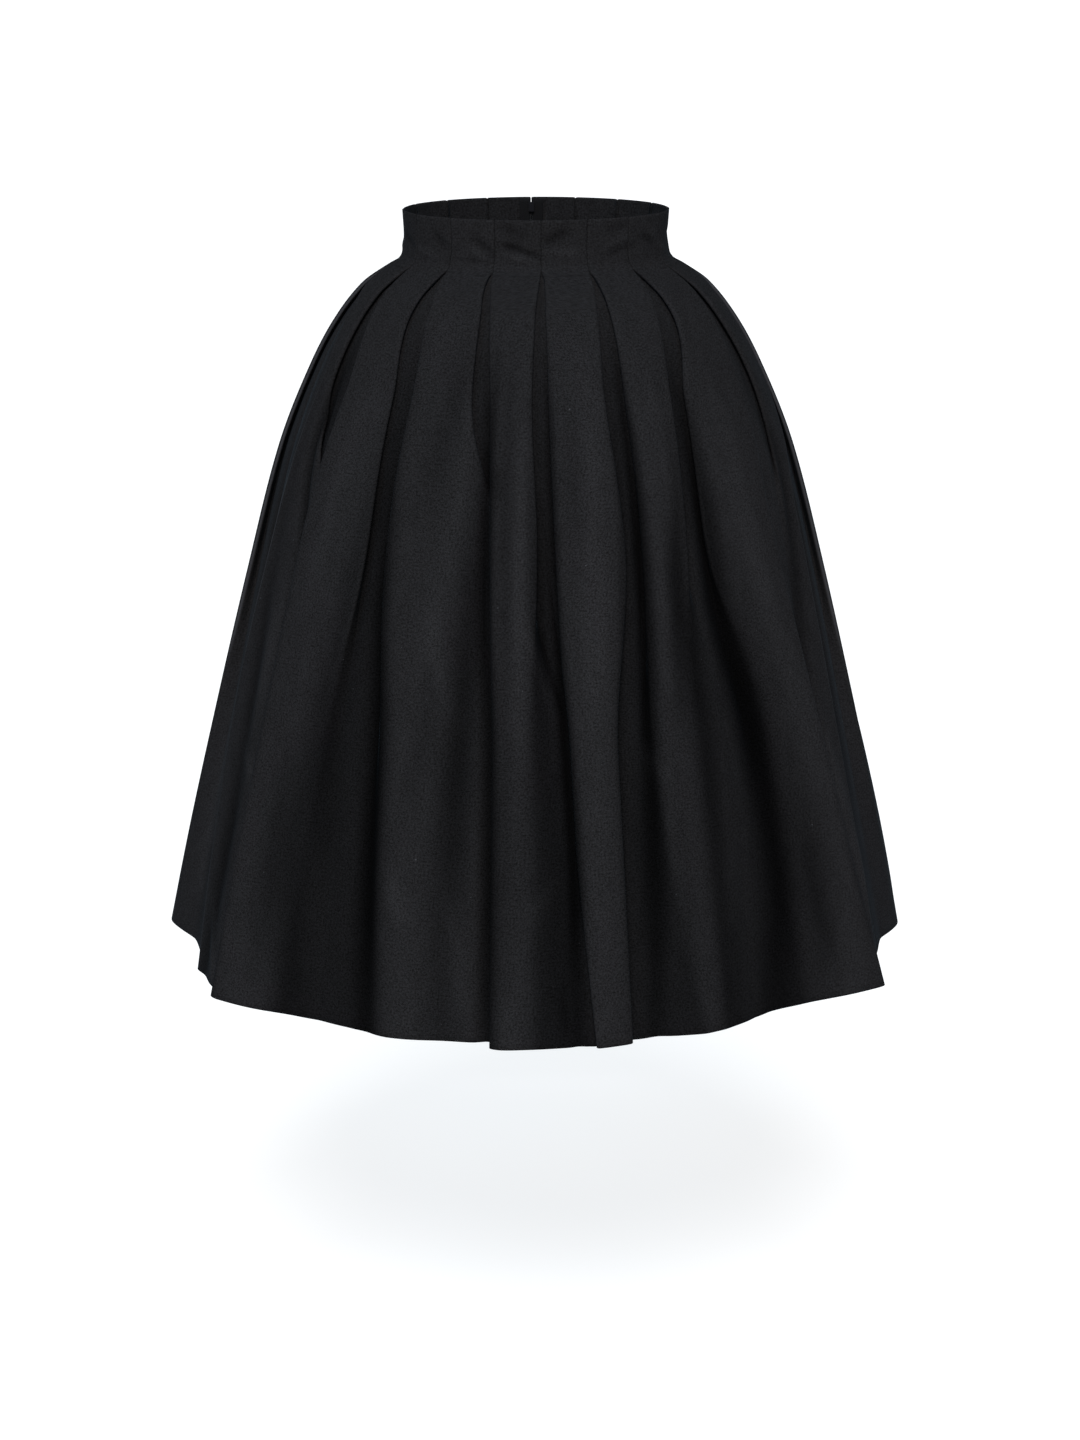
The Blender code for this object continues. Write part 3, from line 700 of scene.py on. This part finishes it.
# %% Points of one panel
def panel_grid(first, last, z):
    """Points of one panel and its fold, seam and painted-light marks, as rings by columns."""
    strips = []
    tall = z[:, None]
    width, depth = body_section(z)
    stitched = share_of(tall, SPRING, YOKE)
    seam_mark = SEAM_MARK * stitched
    pleat_inside_shade = smooth((SPRING, HIP, SEAT, THIGH, HEM), PLEAT_INSIDE_SHADE, tall)

    def add(angle, stand, fold, seam, base=None, inside=0.0, pleat=0):
        """Adds a strip of columns, moved by its creases, with its three marks."""
        lift = creases(angle, np.broadcast_to(tall, angle.shape))
        on = place(angle, stand, tall) if base is None else base
        on = on + outward(angle, tall) * lift[..., None]
        on[..., 2] += edge_shift(angle, seam, tall)
        # painted shade inside the pleats, and painted shade and highlight from the height of the
        # creases
        least = 1.0 if pleat in UNSHADED_PLEATS else pleat_inside_shade
        opened = painted_light_from_height(lift) * (1 - (1 - least) * inside * (1 - stitched))
        strips.append((on, np.broadcast_to(fold, angle.shape),
                       np.broadcast_to(seam, angle.shape), opened))

    for pleat in range(first, last):
        middle_a, middle_s, right_a, right_s, right_shut = pleat_side(pleat, "right", z)
        end_a, end_s, left_a, left_s, left_shut = pleat_side(pleat + 1, "left", z)
        left_a, left_s = left_a[:, ::-1], left_s[:, ::-1]
        if pleat == first:
            middle_a = middle_a + seam_half(first, z) / arc_rate(middle_a, width, depth)
            right_a = np.maximum(right_a, middle_a[:, None])
        if pleat + 1 == last:
            end_a = end_a - seam_half(last, z) / arc_rate(end_a, width, depth)
            left_a = np.minimum(left_a, end_a[:, None])
        right_fold = FOLD_MARK * right_shut[:, None] * HIGHLIT_EDGES.get((pleat, "right"), 1.0)
        left_fold = (FOLD_MARK[::-1] * left_shut[:, None]
                     * HIGHLIT_EDGES.get((pleat + 1, "left"), 1.0))
        face_a, face_s, face = box_face(right_a[:, -1:], right_s[:, -1:],
                                        left_a[:, :1], left_s[:, :1], tall)
        add(middle_a[:, None], middle_s[:, None], 0.0, stitched, inside=1.0, pleat=pleat)
        add(right_a, right_s, right_fold, seam_mark, inside=INSIDE_MARK, pleat=pleat)
        add(face_a, face_s, 0.0, 0.0, base=face)
        add(left_a, left_s, left_fold, seam_mark[:, ::-1], inside=INSIDE_MARK[::-1],
            pleat=pleat + 1)
        if pleat + 1 == last:
            add(end_a[:, None], end_s[:, None], 0.0, stitched, inside=1.0, pleat=pleat + 1)
    return [np.concatenate(values, axis=1) for values in zip(*strips)]


# %% [markdown]
# A Solidify modifier could thicken the grid, but it leaves a square rim. Here the shell is built
# directly: the grid moved half a cloth out and half a cloth in, and a rounded rim between them,
# as the turned edge of a real hem has. The same function serves the panels and the zip tapes.

# %% Normals of a grid and its rim
RIM_ROUND = 0.4


def grid_normals(grid):
    """Unit normals on the right side of the cloth, averaged over the faces round each point."""
    down = grid[1:, :-1] - grid[:-1, 1:]
    across = grid[1:, 1:] - grid[:-1, :-1]
    face = np.cross(down, across)
    normal = np.zeros_like(grid)
    for rows in (slice(None, -1), slice(1, None)):
        for columns in (slice(None, -1), slice(1, None)):
            normal[rows, columns] += face
    return unit(normal)


def rim_points(grid, thickness):
    """Points of the rounded rim, clockwise from the first corner, and the grid places there."""
    rows, columns = grid.shape[:2]
    places = [(0, j) for j in range(columns)]
    places += [(i, columns - 1) for i in range(1, rows)]
    places += [(rows - 1, j) for j in range(columns - 2, -1, -1)]
    places += [(i, 0) for i in range(rows - 2, 0, -1)]
    rim = []
    for i, j in places:
        push = np.zeros(3)
        for at_edge, inside in ((i == 0, (1, j)), (i == rows - 1, (rows - 2, j)),
                                (j == 0, (i, 1)), (j == columns - 1, (i, columns - 2))):
            if at_edge:
                push += unit(grid[i, j] - grid[inside])
        rim.append(grid[i, j] + unit(push) * thickness * RIM_ROUND)
    return np.array(rim), places


print("points round a sheet of 3 by 4:", len(rim_points(np.zeros((3, 4, 3)), CLOTH)[1]))


# %% New meshes and objects
def new_mesh(name, vertices, faces):
    """A smooth mesh."""
    mesh = bpy.data.meshes.new(name)
    mesh.from_pydata(vertices, [], faces)
    mesh.shade_smooth()
    return mesh


def new_object(name, data):
    """An object in the scene."""
    made = bpy.data.objects.new(name, data)
    bpy.context.scene.collection.objects.link(made)
    return made


def step_lengths(grid, axis):
    """Lengths between the neighbours in a grid."""
    return np.linalg.norm(np.diff(grid, axis=axis), axis=2)


print("steps of a flat grid:", step_lengths(np.zeros((2, 3, 3)), 1).shape)


# %% A closed shell on a grid
def cloth_shell(name, grid, thickness, marks):
    """Mesh object of a sheet of cloth, with its grain as UV lengths in metres."""
    rows, columns = grid.shape[:2]
    count = rows * columns
    normal = grid_normals(grid)
    rim, places = rim_points(grid, thickness)
    outer = grid + normal * thickness / 2
    inner = grid - normal * thickness / 2
    vertices = np.concatenate((outer.reshape(-1, 3), inner.reshape(-1, 3), rim))

    index = np.arange(count).reshape(rows, columns)
    a, b, c, d = index[:-1, :-1], index[1:, :-1], index[1:, 1:], index[:-1, 1:]
    right_side = np.stack((a, b, c, d), axis=-1).reshape(-1, 4)
    wrong_side = right_side[:, ::-1] + count
    edge = np.array([index[p] for p in places])
    middle = 2 * count + np.arange(len(places))
    edge_on, middle_on = np.roll(edge, -1), np.roll(middle, -1)
    round_out = np.stack((edge, edge_on, middle_on, middle), axis=1)
    round_in = np.stack((middle, middle_on, edge_on + count, edge + count), axis=1)
    faces = np.concatenate((right_side, wrong_side, round_out, round_in))

    mesh = new_mesh(name, vertices.tolist(), faces.tolist())

    across = np.concatenate((np.zeros((rows, 1)), np.cumsum(step_lengths(grid, 1), axis=1)),
                            axis=1)
    across -= across[:, columns // 2][:, None]
    drop = step_lengths(grid, 0)[:, columns // 2]
    down = np.broadcast_to(-np.concatenate(([0.0], np.cumsum(drop)))[:, None], across.shape)
    grain = np.stack((across, down), axis=-1).reshape(-1, 2)
    per_vertex = np.concatenate((grain, grain, grain[edge]))
    corner = np.empty(len(mesh.loops), dtype=np.int32)
    mesh.loops.foreach_get("vertex_index", corner)
    layer = mesh.uv_layers.new(name="grain")
    layer.data.foreach_set("uv", per_vertex[corner].astype(np.float32).ravel())

    for mark, values in marks.items():
        flat = values.reshape(-1)
        whole = np.concatenate((flat, flat, flat[edge])).astype(np.float32)
        mesh.attributes.new(mark, "FLOAT", "POINT").data.foreach_set("value", whole)

    return new_object(name, mesh)


# %% Make the four panels
PANELS = (
    ("front_panel_right", -4, 0),
    ("front_panel_left", 0, 4),
    ("back_panel_left", 4, 8),
    ("back_panel_right", -8, -4),
)


panels = {}
for name, first, last in PANELS:
    # the open mark carries the painted shade and highlight of each point
    grid, folds, seams, opens = panel_grid(first, last, HEIGHTS)
    panels[name] = cloth_shell(f"{name}_cloth", grid, CLOTH,
                               {"fold": folds, "seam": seams, "open": opens})

# %% [markdown]
# ## The zip
#
# A concealed zip closes the centre back. Its tapes lie inside the seam and only the pull shows.
# The teeth are one coil along each tape, so a helix made by a loop gives all of them. The slider
# stays shut, because opening it would need the cloth to part.

# %% Sizes of the zip
TAPE_TOP = 0.0285
TAPE_BOTTOM = -0.150
TAPE_INNER = 0.0010
TAPE_WIDTH = 0.0100
TAPE_THICK = 0.0005
TAPE_RINGS = 60
TAPE_COLUMNS = 7
TAPE_WANDER = 0.0003
WANDER_PER_METRE = 95
SAME_LEVEL = 0.0012
COIL_END = 0.002
COIL_ASIDE = 0.00062
COIL_PITCH = 0.0013
COIL_RADIUS = 0.00045
WIRE_RADIUS = 0.00017
WIRE_SIDES = 5
TURN_STEPS = 10
print("tape length from top to bottom:", TAPE_TOP - TAPE_BOTTOM)

# %% Where the tapes lie, read from the packed tapes
TAPE_LEVELS = np.linspace(TAPE_TOP, TAPE_BOTTOM, TAPE_RINGS)


def tape_depths():
    """How far back the middle of the packed tapes lies, at each of the tape's levels."""
    points = []
    for side in ("left", "right"):
        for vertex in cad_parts[f"zip_tape_{side}"].data.vertices:
            points.append((vertex.co.z, vertex.co.y))
    points = np.array(points)
    levels = sorted({round(z, 3) for z in points[:, 0]})
    middles = [points[np.abs(points[:, 0] - level) < SAME_LEVEL][:, 1].mean()
               for level in levels]
    return np.interp(TAPE_LEVELS, levels, middles)


tape_y = tape_depths()
print("tapes lie", tape_y.min().round(4), "to", tape_y.max().round(4), "m behind the middle")

# %% The tapes, as thin woven shells
def tape_grid(side):
    """Points of one tape, with the wide side hanging a little freer than the sewn one."""
    across = (TAPE_INNER + np.linspace(0.0, TAPE_WIDTH, TAPE_COLUMNS)) * side
    x, z = np.meshgrid(across[::side], TAPE_LEVELS)
    free = (np.abs(x) - TAPE_INNER) / TAPE_WIDTH
    wander = TAPE_WANDER * np.sin(z * WANDER_PER_METRE + side) * free
    return np.stack((x, tape_y[:, None] + wander, z), axis=-1)


tapes = {}
for label, side in (("left", 1), ("right", -1)):
    # the tape faces +Y, so its grid runs the other way round
    tapes[label] = cloth_shell(f"tape_{label}", tape_grid(side)[:, ::-side], TAPE_THICK, {})
print("tapes:", [len(t.data.polygons) for t in tapes.values()])


# %% One helix of teeth along each tape
def coil(side):
    """Coil of wire that runs down the inner edge of one tape."""
    turns = (TAPE_TOP - TAPE_BOTTOM - 2 * COIL_END) / COIL_PITCH
    steps = int(turns * TURN_STEPS)
    t = np.arange(steps) / TURN_STEPS
    z = TAPE_TOP - COIL_END - t * COIL_PITCH - (0 if side > 0 else COIL_PITCH / 2)
    y = np.interp(-z, -TAPE_LEVELS, tape_y)
    spin = t * 2 * math.pi
    centre = np.stack((side * (COIL_ASIDE + COIL_RADIUS * np.cos(spin)),
                       y + COIL_RADIUS * np.sin(spin), z), axis=1)
    ahead = unit(np.gradient(centre, axis=0))
    first = unit(np.cross(ahead, (0.0, 0.0, 1.0)))
    second = np.cross(ahead, first)
    angle = np.arange(WIRE_SIDES) * 2 * math.pi / WIRE_SIDES
    ring = (first[:, None] * np.cos(angle)[None, :, None]
            + second[:, None] * np.sin(angle)[None, :, None]) * WIRE_RADIUS
    vertices = (centre[:, None] + ring).reshape(-1, 3)
    index = np.arange(steps * WIRE_SIDES).reshape(steps, WIRE_SIDES)
    on = np.roll(index, -1, axis=1)
    faces = np.stack((index[:-1], on[:-1], on[1:], index[1:]), axis=-1).reshape(-1, 4).tolist()
    faces += [index[0].tolist()[::-1], index[-1].tolist()]
    return new_mesh("coil", vertices.tolist(), faces)


coils = {label: new_object(f"zip_coil_{label}", coil(side))
         for label, side in (("left", 1), ("right", -1))}
print("faces in one coil:", len(coils["left"].data.polygons))

# %% [markdown]
# ## Shader maths as plain Python
#
# A material in Blender is a graph of nodes, and arithmetic on it is a chain of Math nodes. One
# small class wraps a node's output and overloads the operators, so `0.02 + noise * 0.01` reads
# like a sum and builds the nodes by itself.


# %% A wire of the node graph that can be added and multiplied
class Wire:
    """One output of a shader node."""

    def __init__(self, graph, socket):
        self.graph = graph
        self.socket = socket

    def __add__(self, other):
        return self.graph.sum_of("ADD", self, other)

    def __sub__(self, other):
        return self.graph.sum_of("SUBTRACT", self, other)

    def __rsub__(self, other):
        return self.graph.sum_of("SUBTRACT", other, self)

    def __mul__(self, other):
        return self.graph.sum_of("MULTIPLY", self, other)

    __radd__ = __add__
    __rmul__ = __mul__


class Graph:
    """The node graph of one new material."""

    def __init__(self, name, **constants):
        self.material = bpy.data.materials.new(name)
        self.material.use_nodes = True
        self.nodes = self.material.node_tree.nodes
        self.links = self.material.node_tree.links
        self.shader = self.nodes["Principled BSDF"]
        for socket, value in constants.items():
            self.shader.inputs[socket.replace("_", " ")].default_value = value

    def node(self, kind, settings=None, inputs=None, output=0):
        """Any node: its settings first, then the values or wires of its inputs."""
        made = self.nodes.new(kind)
        for name, value in (settings or {}).items():
            if name == "stops":
                for place, (at, shade) in enumerate(value):
                    stop = (made.color_ramp.elements[place] if place < 2
                            else made.color_ramp.elements.new(at))
                    stop.position = at
                    stop.color = (shade, shade, shade, 1.0)
            else:
                setattr(made, name, value)
        for name, value in (inputs or {}).items():
            if isinstance(value, Wire):
                self.links.new(value.socket, made.inputs[name])
            else:
                made.inputs[name].default_value = value
        return Wire(self, made.outputs[output])

    def sum_of(self, operation, first, second):
        return self.node("ShaderNodeMath", {"operation": operation}, {0: first, 1: second})

    def feed(self, socket, wire):
        """Drives one input of the finished surface."""
        self.links.new(wire.socket, self.shader.inputs[socket])

    def noise(self, where, scale, detail, roughness=0.5):
        """Cloudy noise around one half."""
        return self.node("ShaderNodeTexNoise", None, {"Vector": where, "Scale": scale,
                                                      "Detail": detail, "Roughness": roughness})

    def ribs(self, where, pitch, direction, inputs):
        """Parallel ribs with a pitch in metres."""
        return self.node("ShaderNodeTexWave",
                         {"wave_type": "BANDS", "bands_direction": direction},
                         {"Vector": where, "Scale": math.pi / 10 / pitch, **inputs}, output=1)

    def blend(self, share, first, second):
        """A colour between two others, each given as numbers or as a wire."""
        first, second = (end if isinstance(end, Wire) else (*end, 1.0)
                         for end in (first, second))
        return self.node("ShaderNodeMix", {"data_type": "RGBA"},
                         {0: share, 6: first, 7: second}, output=2)

    def relief(self, strength, height):
        """Bump from a height in metres."""
        self.feed("Normal", self.node("ShaderNodeBump", None, {
            "Strength": strength, "Distance": 1.0, "Height": height}))


print("operators ready:", [name for name in vars(Wire) if name.startswith("__r")])

# %% [markdown]
# ## Black twill
#
# Stiff cotton twill is black with a cool, soft sheen. Its weave runs in fine diagonal ribs, with
# thicker threads here and there. The pressed edges of the pleats catch a little more light, and
# a few specks of lint sit on it. The grain's UV lengths are metres, so each scale below is real.

# %% Real sizes of the weave
RIB = 0.0009
RIB_SLANT = math.radians(52)
SLUB_LONG = 0.009
SLUB_WIDE = 0.0007
MOTTLE_WIDE = 0.012
MOTTLE_LONG = 0.030
NAP = 0.0018
LINT = 0.0045
print(round(MM / RIB, 1), "ribs in a millimetre")

# %% How much each of them shows in the cloth's shade, and in its relief in metres
# in the shade, fold is a painted highlight on the pressed fold edges and seam a painted shadow in
# the stitched groove
SHADES = {"mottle": 0.6, "slubs": 1.7, "nap": 2.9, "ribs": 0.12, "fold": 0.18, "seam": -0.35}
SHADE_START = -2.1
RELIEF = {"ribs": 0.00010, "slubs": 0.00022, "mottle": 0.0004}
LINT_AND_HIGHLIGHT_COLOUR = (0.09, 0.09, 0.10)
LINT_SHARE = 0.35
EDGE_HIGHLIGHT_SHARE = 0.16
print("strongest in the shade:", max(SHADES, key=SHADES.get))


# %% The twill material
def make_twill(name, dark, light):
    """Woven black cloth between two shades of grey."""
    cloth = Graph(name, Sheen_Weight=0.012, Sheen_Roughness=0.30,
                  Sheen_Tint=(0.55, 0.78, 1.0, 1.0), Specular_IOR_Level=0.0)
    grain = cloth.node("ShaderNodeUVMap", {"uv_map": "grain"})
    slanted = cloth.node("ShaderNodeMapping", None,
                         {"Vector": grain, "Rotation": (0.0, 0.0, RIB_SLANT)})

    def stretched(across, down, shift=0.0):
        """The grain in units of two lengths, moved along by a shift."""
        return cloth.node("ShaderNodeMapping", None,
                          {"Vector": grain, "Scale": (1 / across, 1 / down, 1.0),
                           "Location": (shift, shift, shift)})

    warp = cloth.noise(stretched(SLUB_WIDE, SLUB_LONG, 3.0), 1.0, 2.0, 0.6)
    weft = cloth.noise(stretched(SLUB_LONG, SLUB_WIDE, 8.0), 1.0, 2.0, 0.6)
    specks = cloth.noise(grain, 1 / LINT, 1.0, 0.4)
    lint = cloth.node("ShaderNodeValToRGB", {"stops": ((0.80, 0.0), (0.84, 1.0))},
                      {"Fac": specks})
    look = {
        "ribs": cloth.ribs(slanted, RIB, "X",
                           {"Distortion": 1.2, "Detail": 1.0, "Detail Scale": 2.0}),
        "slubs": warp * 0.5 + weft * 0.5,
        "mottle": cloth.noise(stretched(MOTTLE_WIDE, MOTTLE_LONG), 1.0, 5.0, 0.7),
        "nap": cloth.noise(grain, 1 / NAP, 2.0, 0.7),
    }
    for mark in ("fold", "seam", "open"):
        look[mark] = cloth.node("ShaderNodeAttribute", {"attribute_name": mark}, output=2)
    fold, opened = look["fold"], look["open"]

    shade = sum(look[part] * much for part, much in SHADES.items()) + SHADE_START
    # painted highlight on the side fold edges, blended towards the same pale colour as the lint
    edge_highlight = cloth.sum_of("MAXIMUM", fold - 1.0, 0.0)
    lint_and_highlight = cloth.blend(lint * LINT_SHARE + edge_highlight * EDGE_HIGHLIGHT_SHARE,
                          cloth.blend(shade, dark, light), LINT_AND_HIGHLIGHT_COLOUR)
    # painted shade in hollows and inside the pleats, and painted highlight on ridges, from the
    # open mark
    with_painted_light = cloth.node("ShaderNodeVectorMath", {"operation": "SCALE"},
                      {0: lint_and_highlight, "Scale": opened})
    cloth.feed("Base Color", with_painted_light)
    cloth.feed("Roughness", 0.50 + (1.0 - opened) * 0.35 + look["mottle"] * 0.08 - fold * 0.04)
    cloth.relief(0.55, sum(look[part] * high for part, high in RELIEF.items()))
    return cloth.material


twill = make_twill("black_twill", (0.0051, 0.0049, 0.0050), (0.0150, 0.0147, 0.0157))
for panel in panels.values():
    panel.data.materials.append(twill)
print("twill nodes:", len(twill.node_tree.nodes))


# %% The tape's fine weave, the coil's nylon and the lacquered slider
TAPE_RIB = 0.0006


def make_tape_cloth():
    """Fine ribbed tape, darker and duller than the twill."""
    tape = Graph("zip_tape_weave", Specular_IOR_Level=0.03)
    grain = tape.node("ShaderNodeUVMap", {"uv_map": "grain"})
    ribs = tape.ribs(grain, TAPE_RIB, "DIAGONAL", {"Distortion": 0.5})
    tape.feed("Base Color", tape.blend(ribs, (0.004, 0.004, 0.004), (0.008, 0.008, 0.009)))
    tape.feed("Roughness", 0.78 + ribs * 0.1)
    tape.relief(0.5, ribs * 0.00012)
    return tape.material


def make_hard_finish(name, base, roughness, scratch_size, **constants):
    """Hard black finish with faint scratches, paler and rougher than the rest."""
    hard = Graph(name, **constants)
    where = hard.node("ShaderNodeTexCoord", output="Object")
    scratches = hard.noise(where, 1 / scratch_size, 3.0)
    paler = (base[0] * 1.6, base[1] * 1.6, base[2] * 1.7)
    hard.feed("Base Color", hard.blend(scratches, base, paler))
    hard.feed("Roughness", roughness + scratches * 0.18)
    hard.relief(0.2, scratches * 0.00005)
    return hard.material


tape_weave = make_tape_cloth()
nylon = make_hard_finish("coil_nylon", (0.008, 0.008, 0.009), 0.35, 0.0008)
lacquer = make_hard_finish("slider_lacquer", (0.005, 0.005, 0.006), 0.34, 0.0015,
                           Specular_IOR_Level=0.12)
for label in ("left", "right"):
    tapes[label].data.materials.append(tape_weave)
    coils[label].data.materials.append(nylon)
for node in ("zip_slider", "zip_pull"):
    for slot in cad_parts[node].material_slots:
        slot.material = lacquer
print("zip finishes on", [c.name for c in coils.values()])

# %% [markdown]
# ## Who rides on what
#
# Every piece rides on a body of the packed model, and each shell stands for the solid that it
# dresses.

# %% Bodies and replaced solids
for name, panel in panels.items():
    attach(panel, "skirt")
    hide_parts(name)
for label in ("left", "right"):
    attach(tapes[label], "skirt")
    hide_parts(f"zip_tape_{label}")
    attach(coils[label], "skirt")

# %% [markdown]
# ## Floor, light and camera
#
# The garment floats where a wearer would hold it, over a pale floor that fills the picture and is
# lit from within like a light table, because the photograph's background is pure white. One
# soft light from high in front lets the hollows between the folds stay dark, and painted shade in
# the cloth's colour darkens them further. Two weaker ones, as blue as daylight from a window,
# reach the sides, and a dim pale world lifts the rest.

# %% A pale floor
FLOOR_Z = -1.06
FLOOR_SIZE = 90.0


def make_floor():
    """Wide pale floor that also glows, so that the skirt's shadow on it stays faint."""
    half = FLOOR_SIZE / 2
    corners_at = ((-half, -half), (half, -half), (half, half), (-half, half))
    floor = new_object("floor", new_mesh("floor", [(x, y, FLOOR_Z) for x, y in corners_at],
                                         [(0, 1, 2, 3)]))
    paint = Graph("floor_paint", Base_Color=(0.28, 0.28, 0.28, 1.0), Roughness=0.9,
                  Specular_IOR_Level=0.1, Emission_Color=(1.0, 1.0, 1.0, 1.0),
                  Emission_Strength=0.80)
    floor.data.materials.append(paint.material)
    return floor


floor = make_floor()
print("floor", FLOOR_SIZE, "m wide")

# %% The world, and the lamps: name, turn, height, power, softness and colour
WORLD_STRENGTH = 0.25
LAMP_AWAY = 4.0
LAMPS = (
    ("front", -6.0, 50.0, 3.85, 28.0, (1.0, 0.985, 0.975)),
    ("side_left", -66.0, 40.0, 0.80, 30.0, (0.30, 0.68, 1.0)),
    ("side_right", 68.0, 40.0, 0.55, 30.0, (0.30, 0.68, 1.0)),
)


def make_light():
    """Dim pale world and soft distant lamps, each at a turn and a height in degrees."""
    world = bpy.data.worlds.new("pale_room")
    world.use_nodes = True
    background = world.node_tree.nodes["Background"]
    background.inputs["Color"].default_value = (1.0, 1.0, 1.0, 1.0)
    background.inputs["Strength"].default_value = WORLD_STRENGTH
    bpy.context.scene.world = world
    for name, turned, high, power, softness, tint in LAMPS:
        data = bpy.data.lights.new(name, "SUN")
        data.energy = power
        data.color = tint
        data.angle = math.radians(softness)
        lamp = new_object(name, data)
        turned, high = math.radians(turned), math.radians(high)
        spot = Vector((math.sin(turned) * math.cos(high), -math.cos(turned) * math.cos(high),
                       math.sin(high)))
        lamp.location = spot * LAMP_AWAY
        lamp.rotation_euler = (-spot).to_track_quat("-Z", "Y").to_euler()


make_light()
bpy.context.scene.view_settings.view_transform = "Standard"
print(len(LAMPS), "lamps")

# %% The camera, at the photograph's viewing angle
CAMERA_TURN = math.radians(-3.0)
CAMERA_AWAY = 3.1
CAMERA_HIGH = 0.404
CAMERA_TILT = math.radians(15.7)
CAMERA_ASIDE = 0.0038
FOCAL_PIXELS = 3295.0
IMAGE_HEIGHT = 1440
SENSOR_HEIGHT = 36.0


def make_camera():
    """Camera that looks slightly down at the skirt."""
    data = bpy.data.cameras.new("camera")
    data.sensor_fit = "VERTICAL"
    data.sensor_height = SENSOR_HEIGHT
    data.lens = FOCAL_PIXELS / IMAGE_HEIGHT * SENSOR_HEIGHT
    camera = new_object("camera", data)
    across = Vector((math.cos(CAMERA_TURN), math.sin(CAMERA_TURN), 0.0))
    back = Vector((math.sin(CAMERA_TURN), -math.cos(CAMERA_TURN), 0.0))
    camera.location = back * CAMERA_AWAY + across * CAMERA_ASIDE + Vector((0, 0, CAMERA_HIGH))
    camera.rotation_euler = (math.pi / 2 - CAMERA_TILT, 0.0, CAMERA_TURN)
    bpy.context.scene.camera = camera
    return camera


camera = make_camera()
print("camera at", [round(v, 3) for v in camera.location])

# %% [markdown]
# ## Sizes and the end
#
# The dressed model stays inside the box of the solids, apart from the little that cloth may stand
# proud.
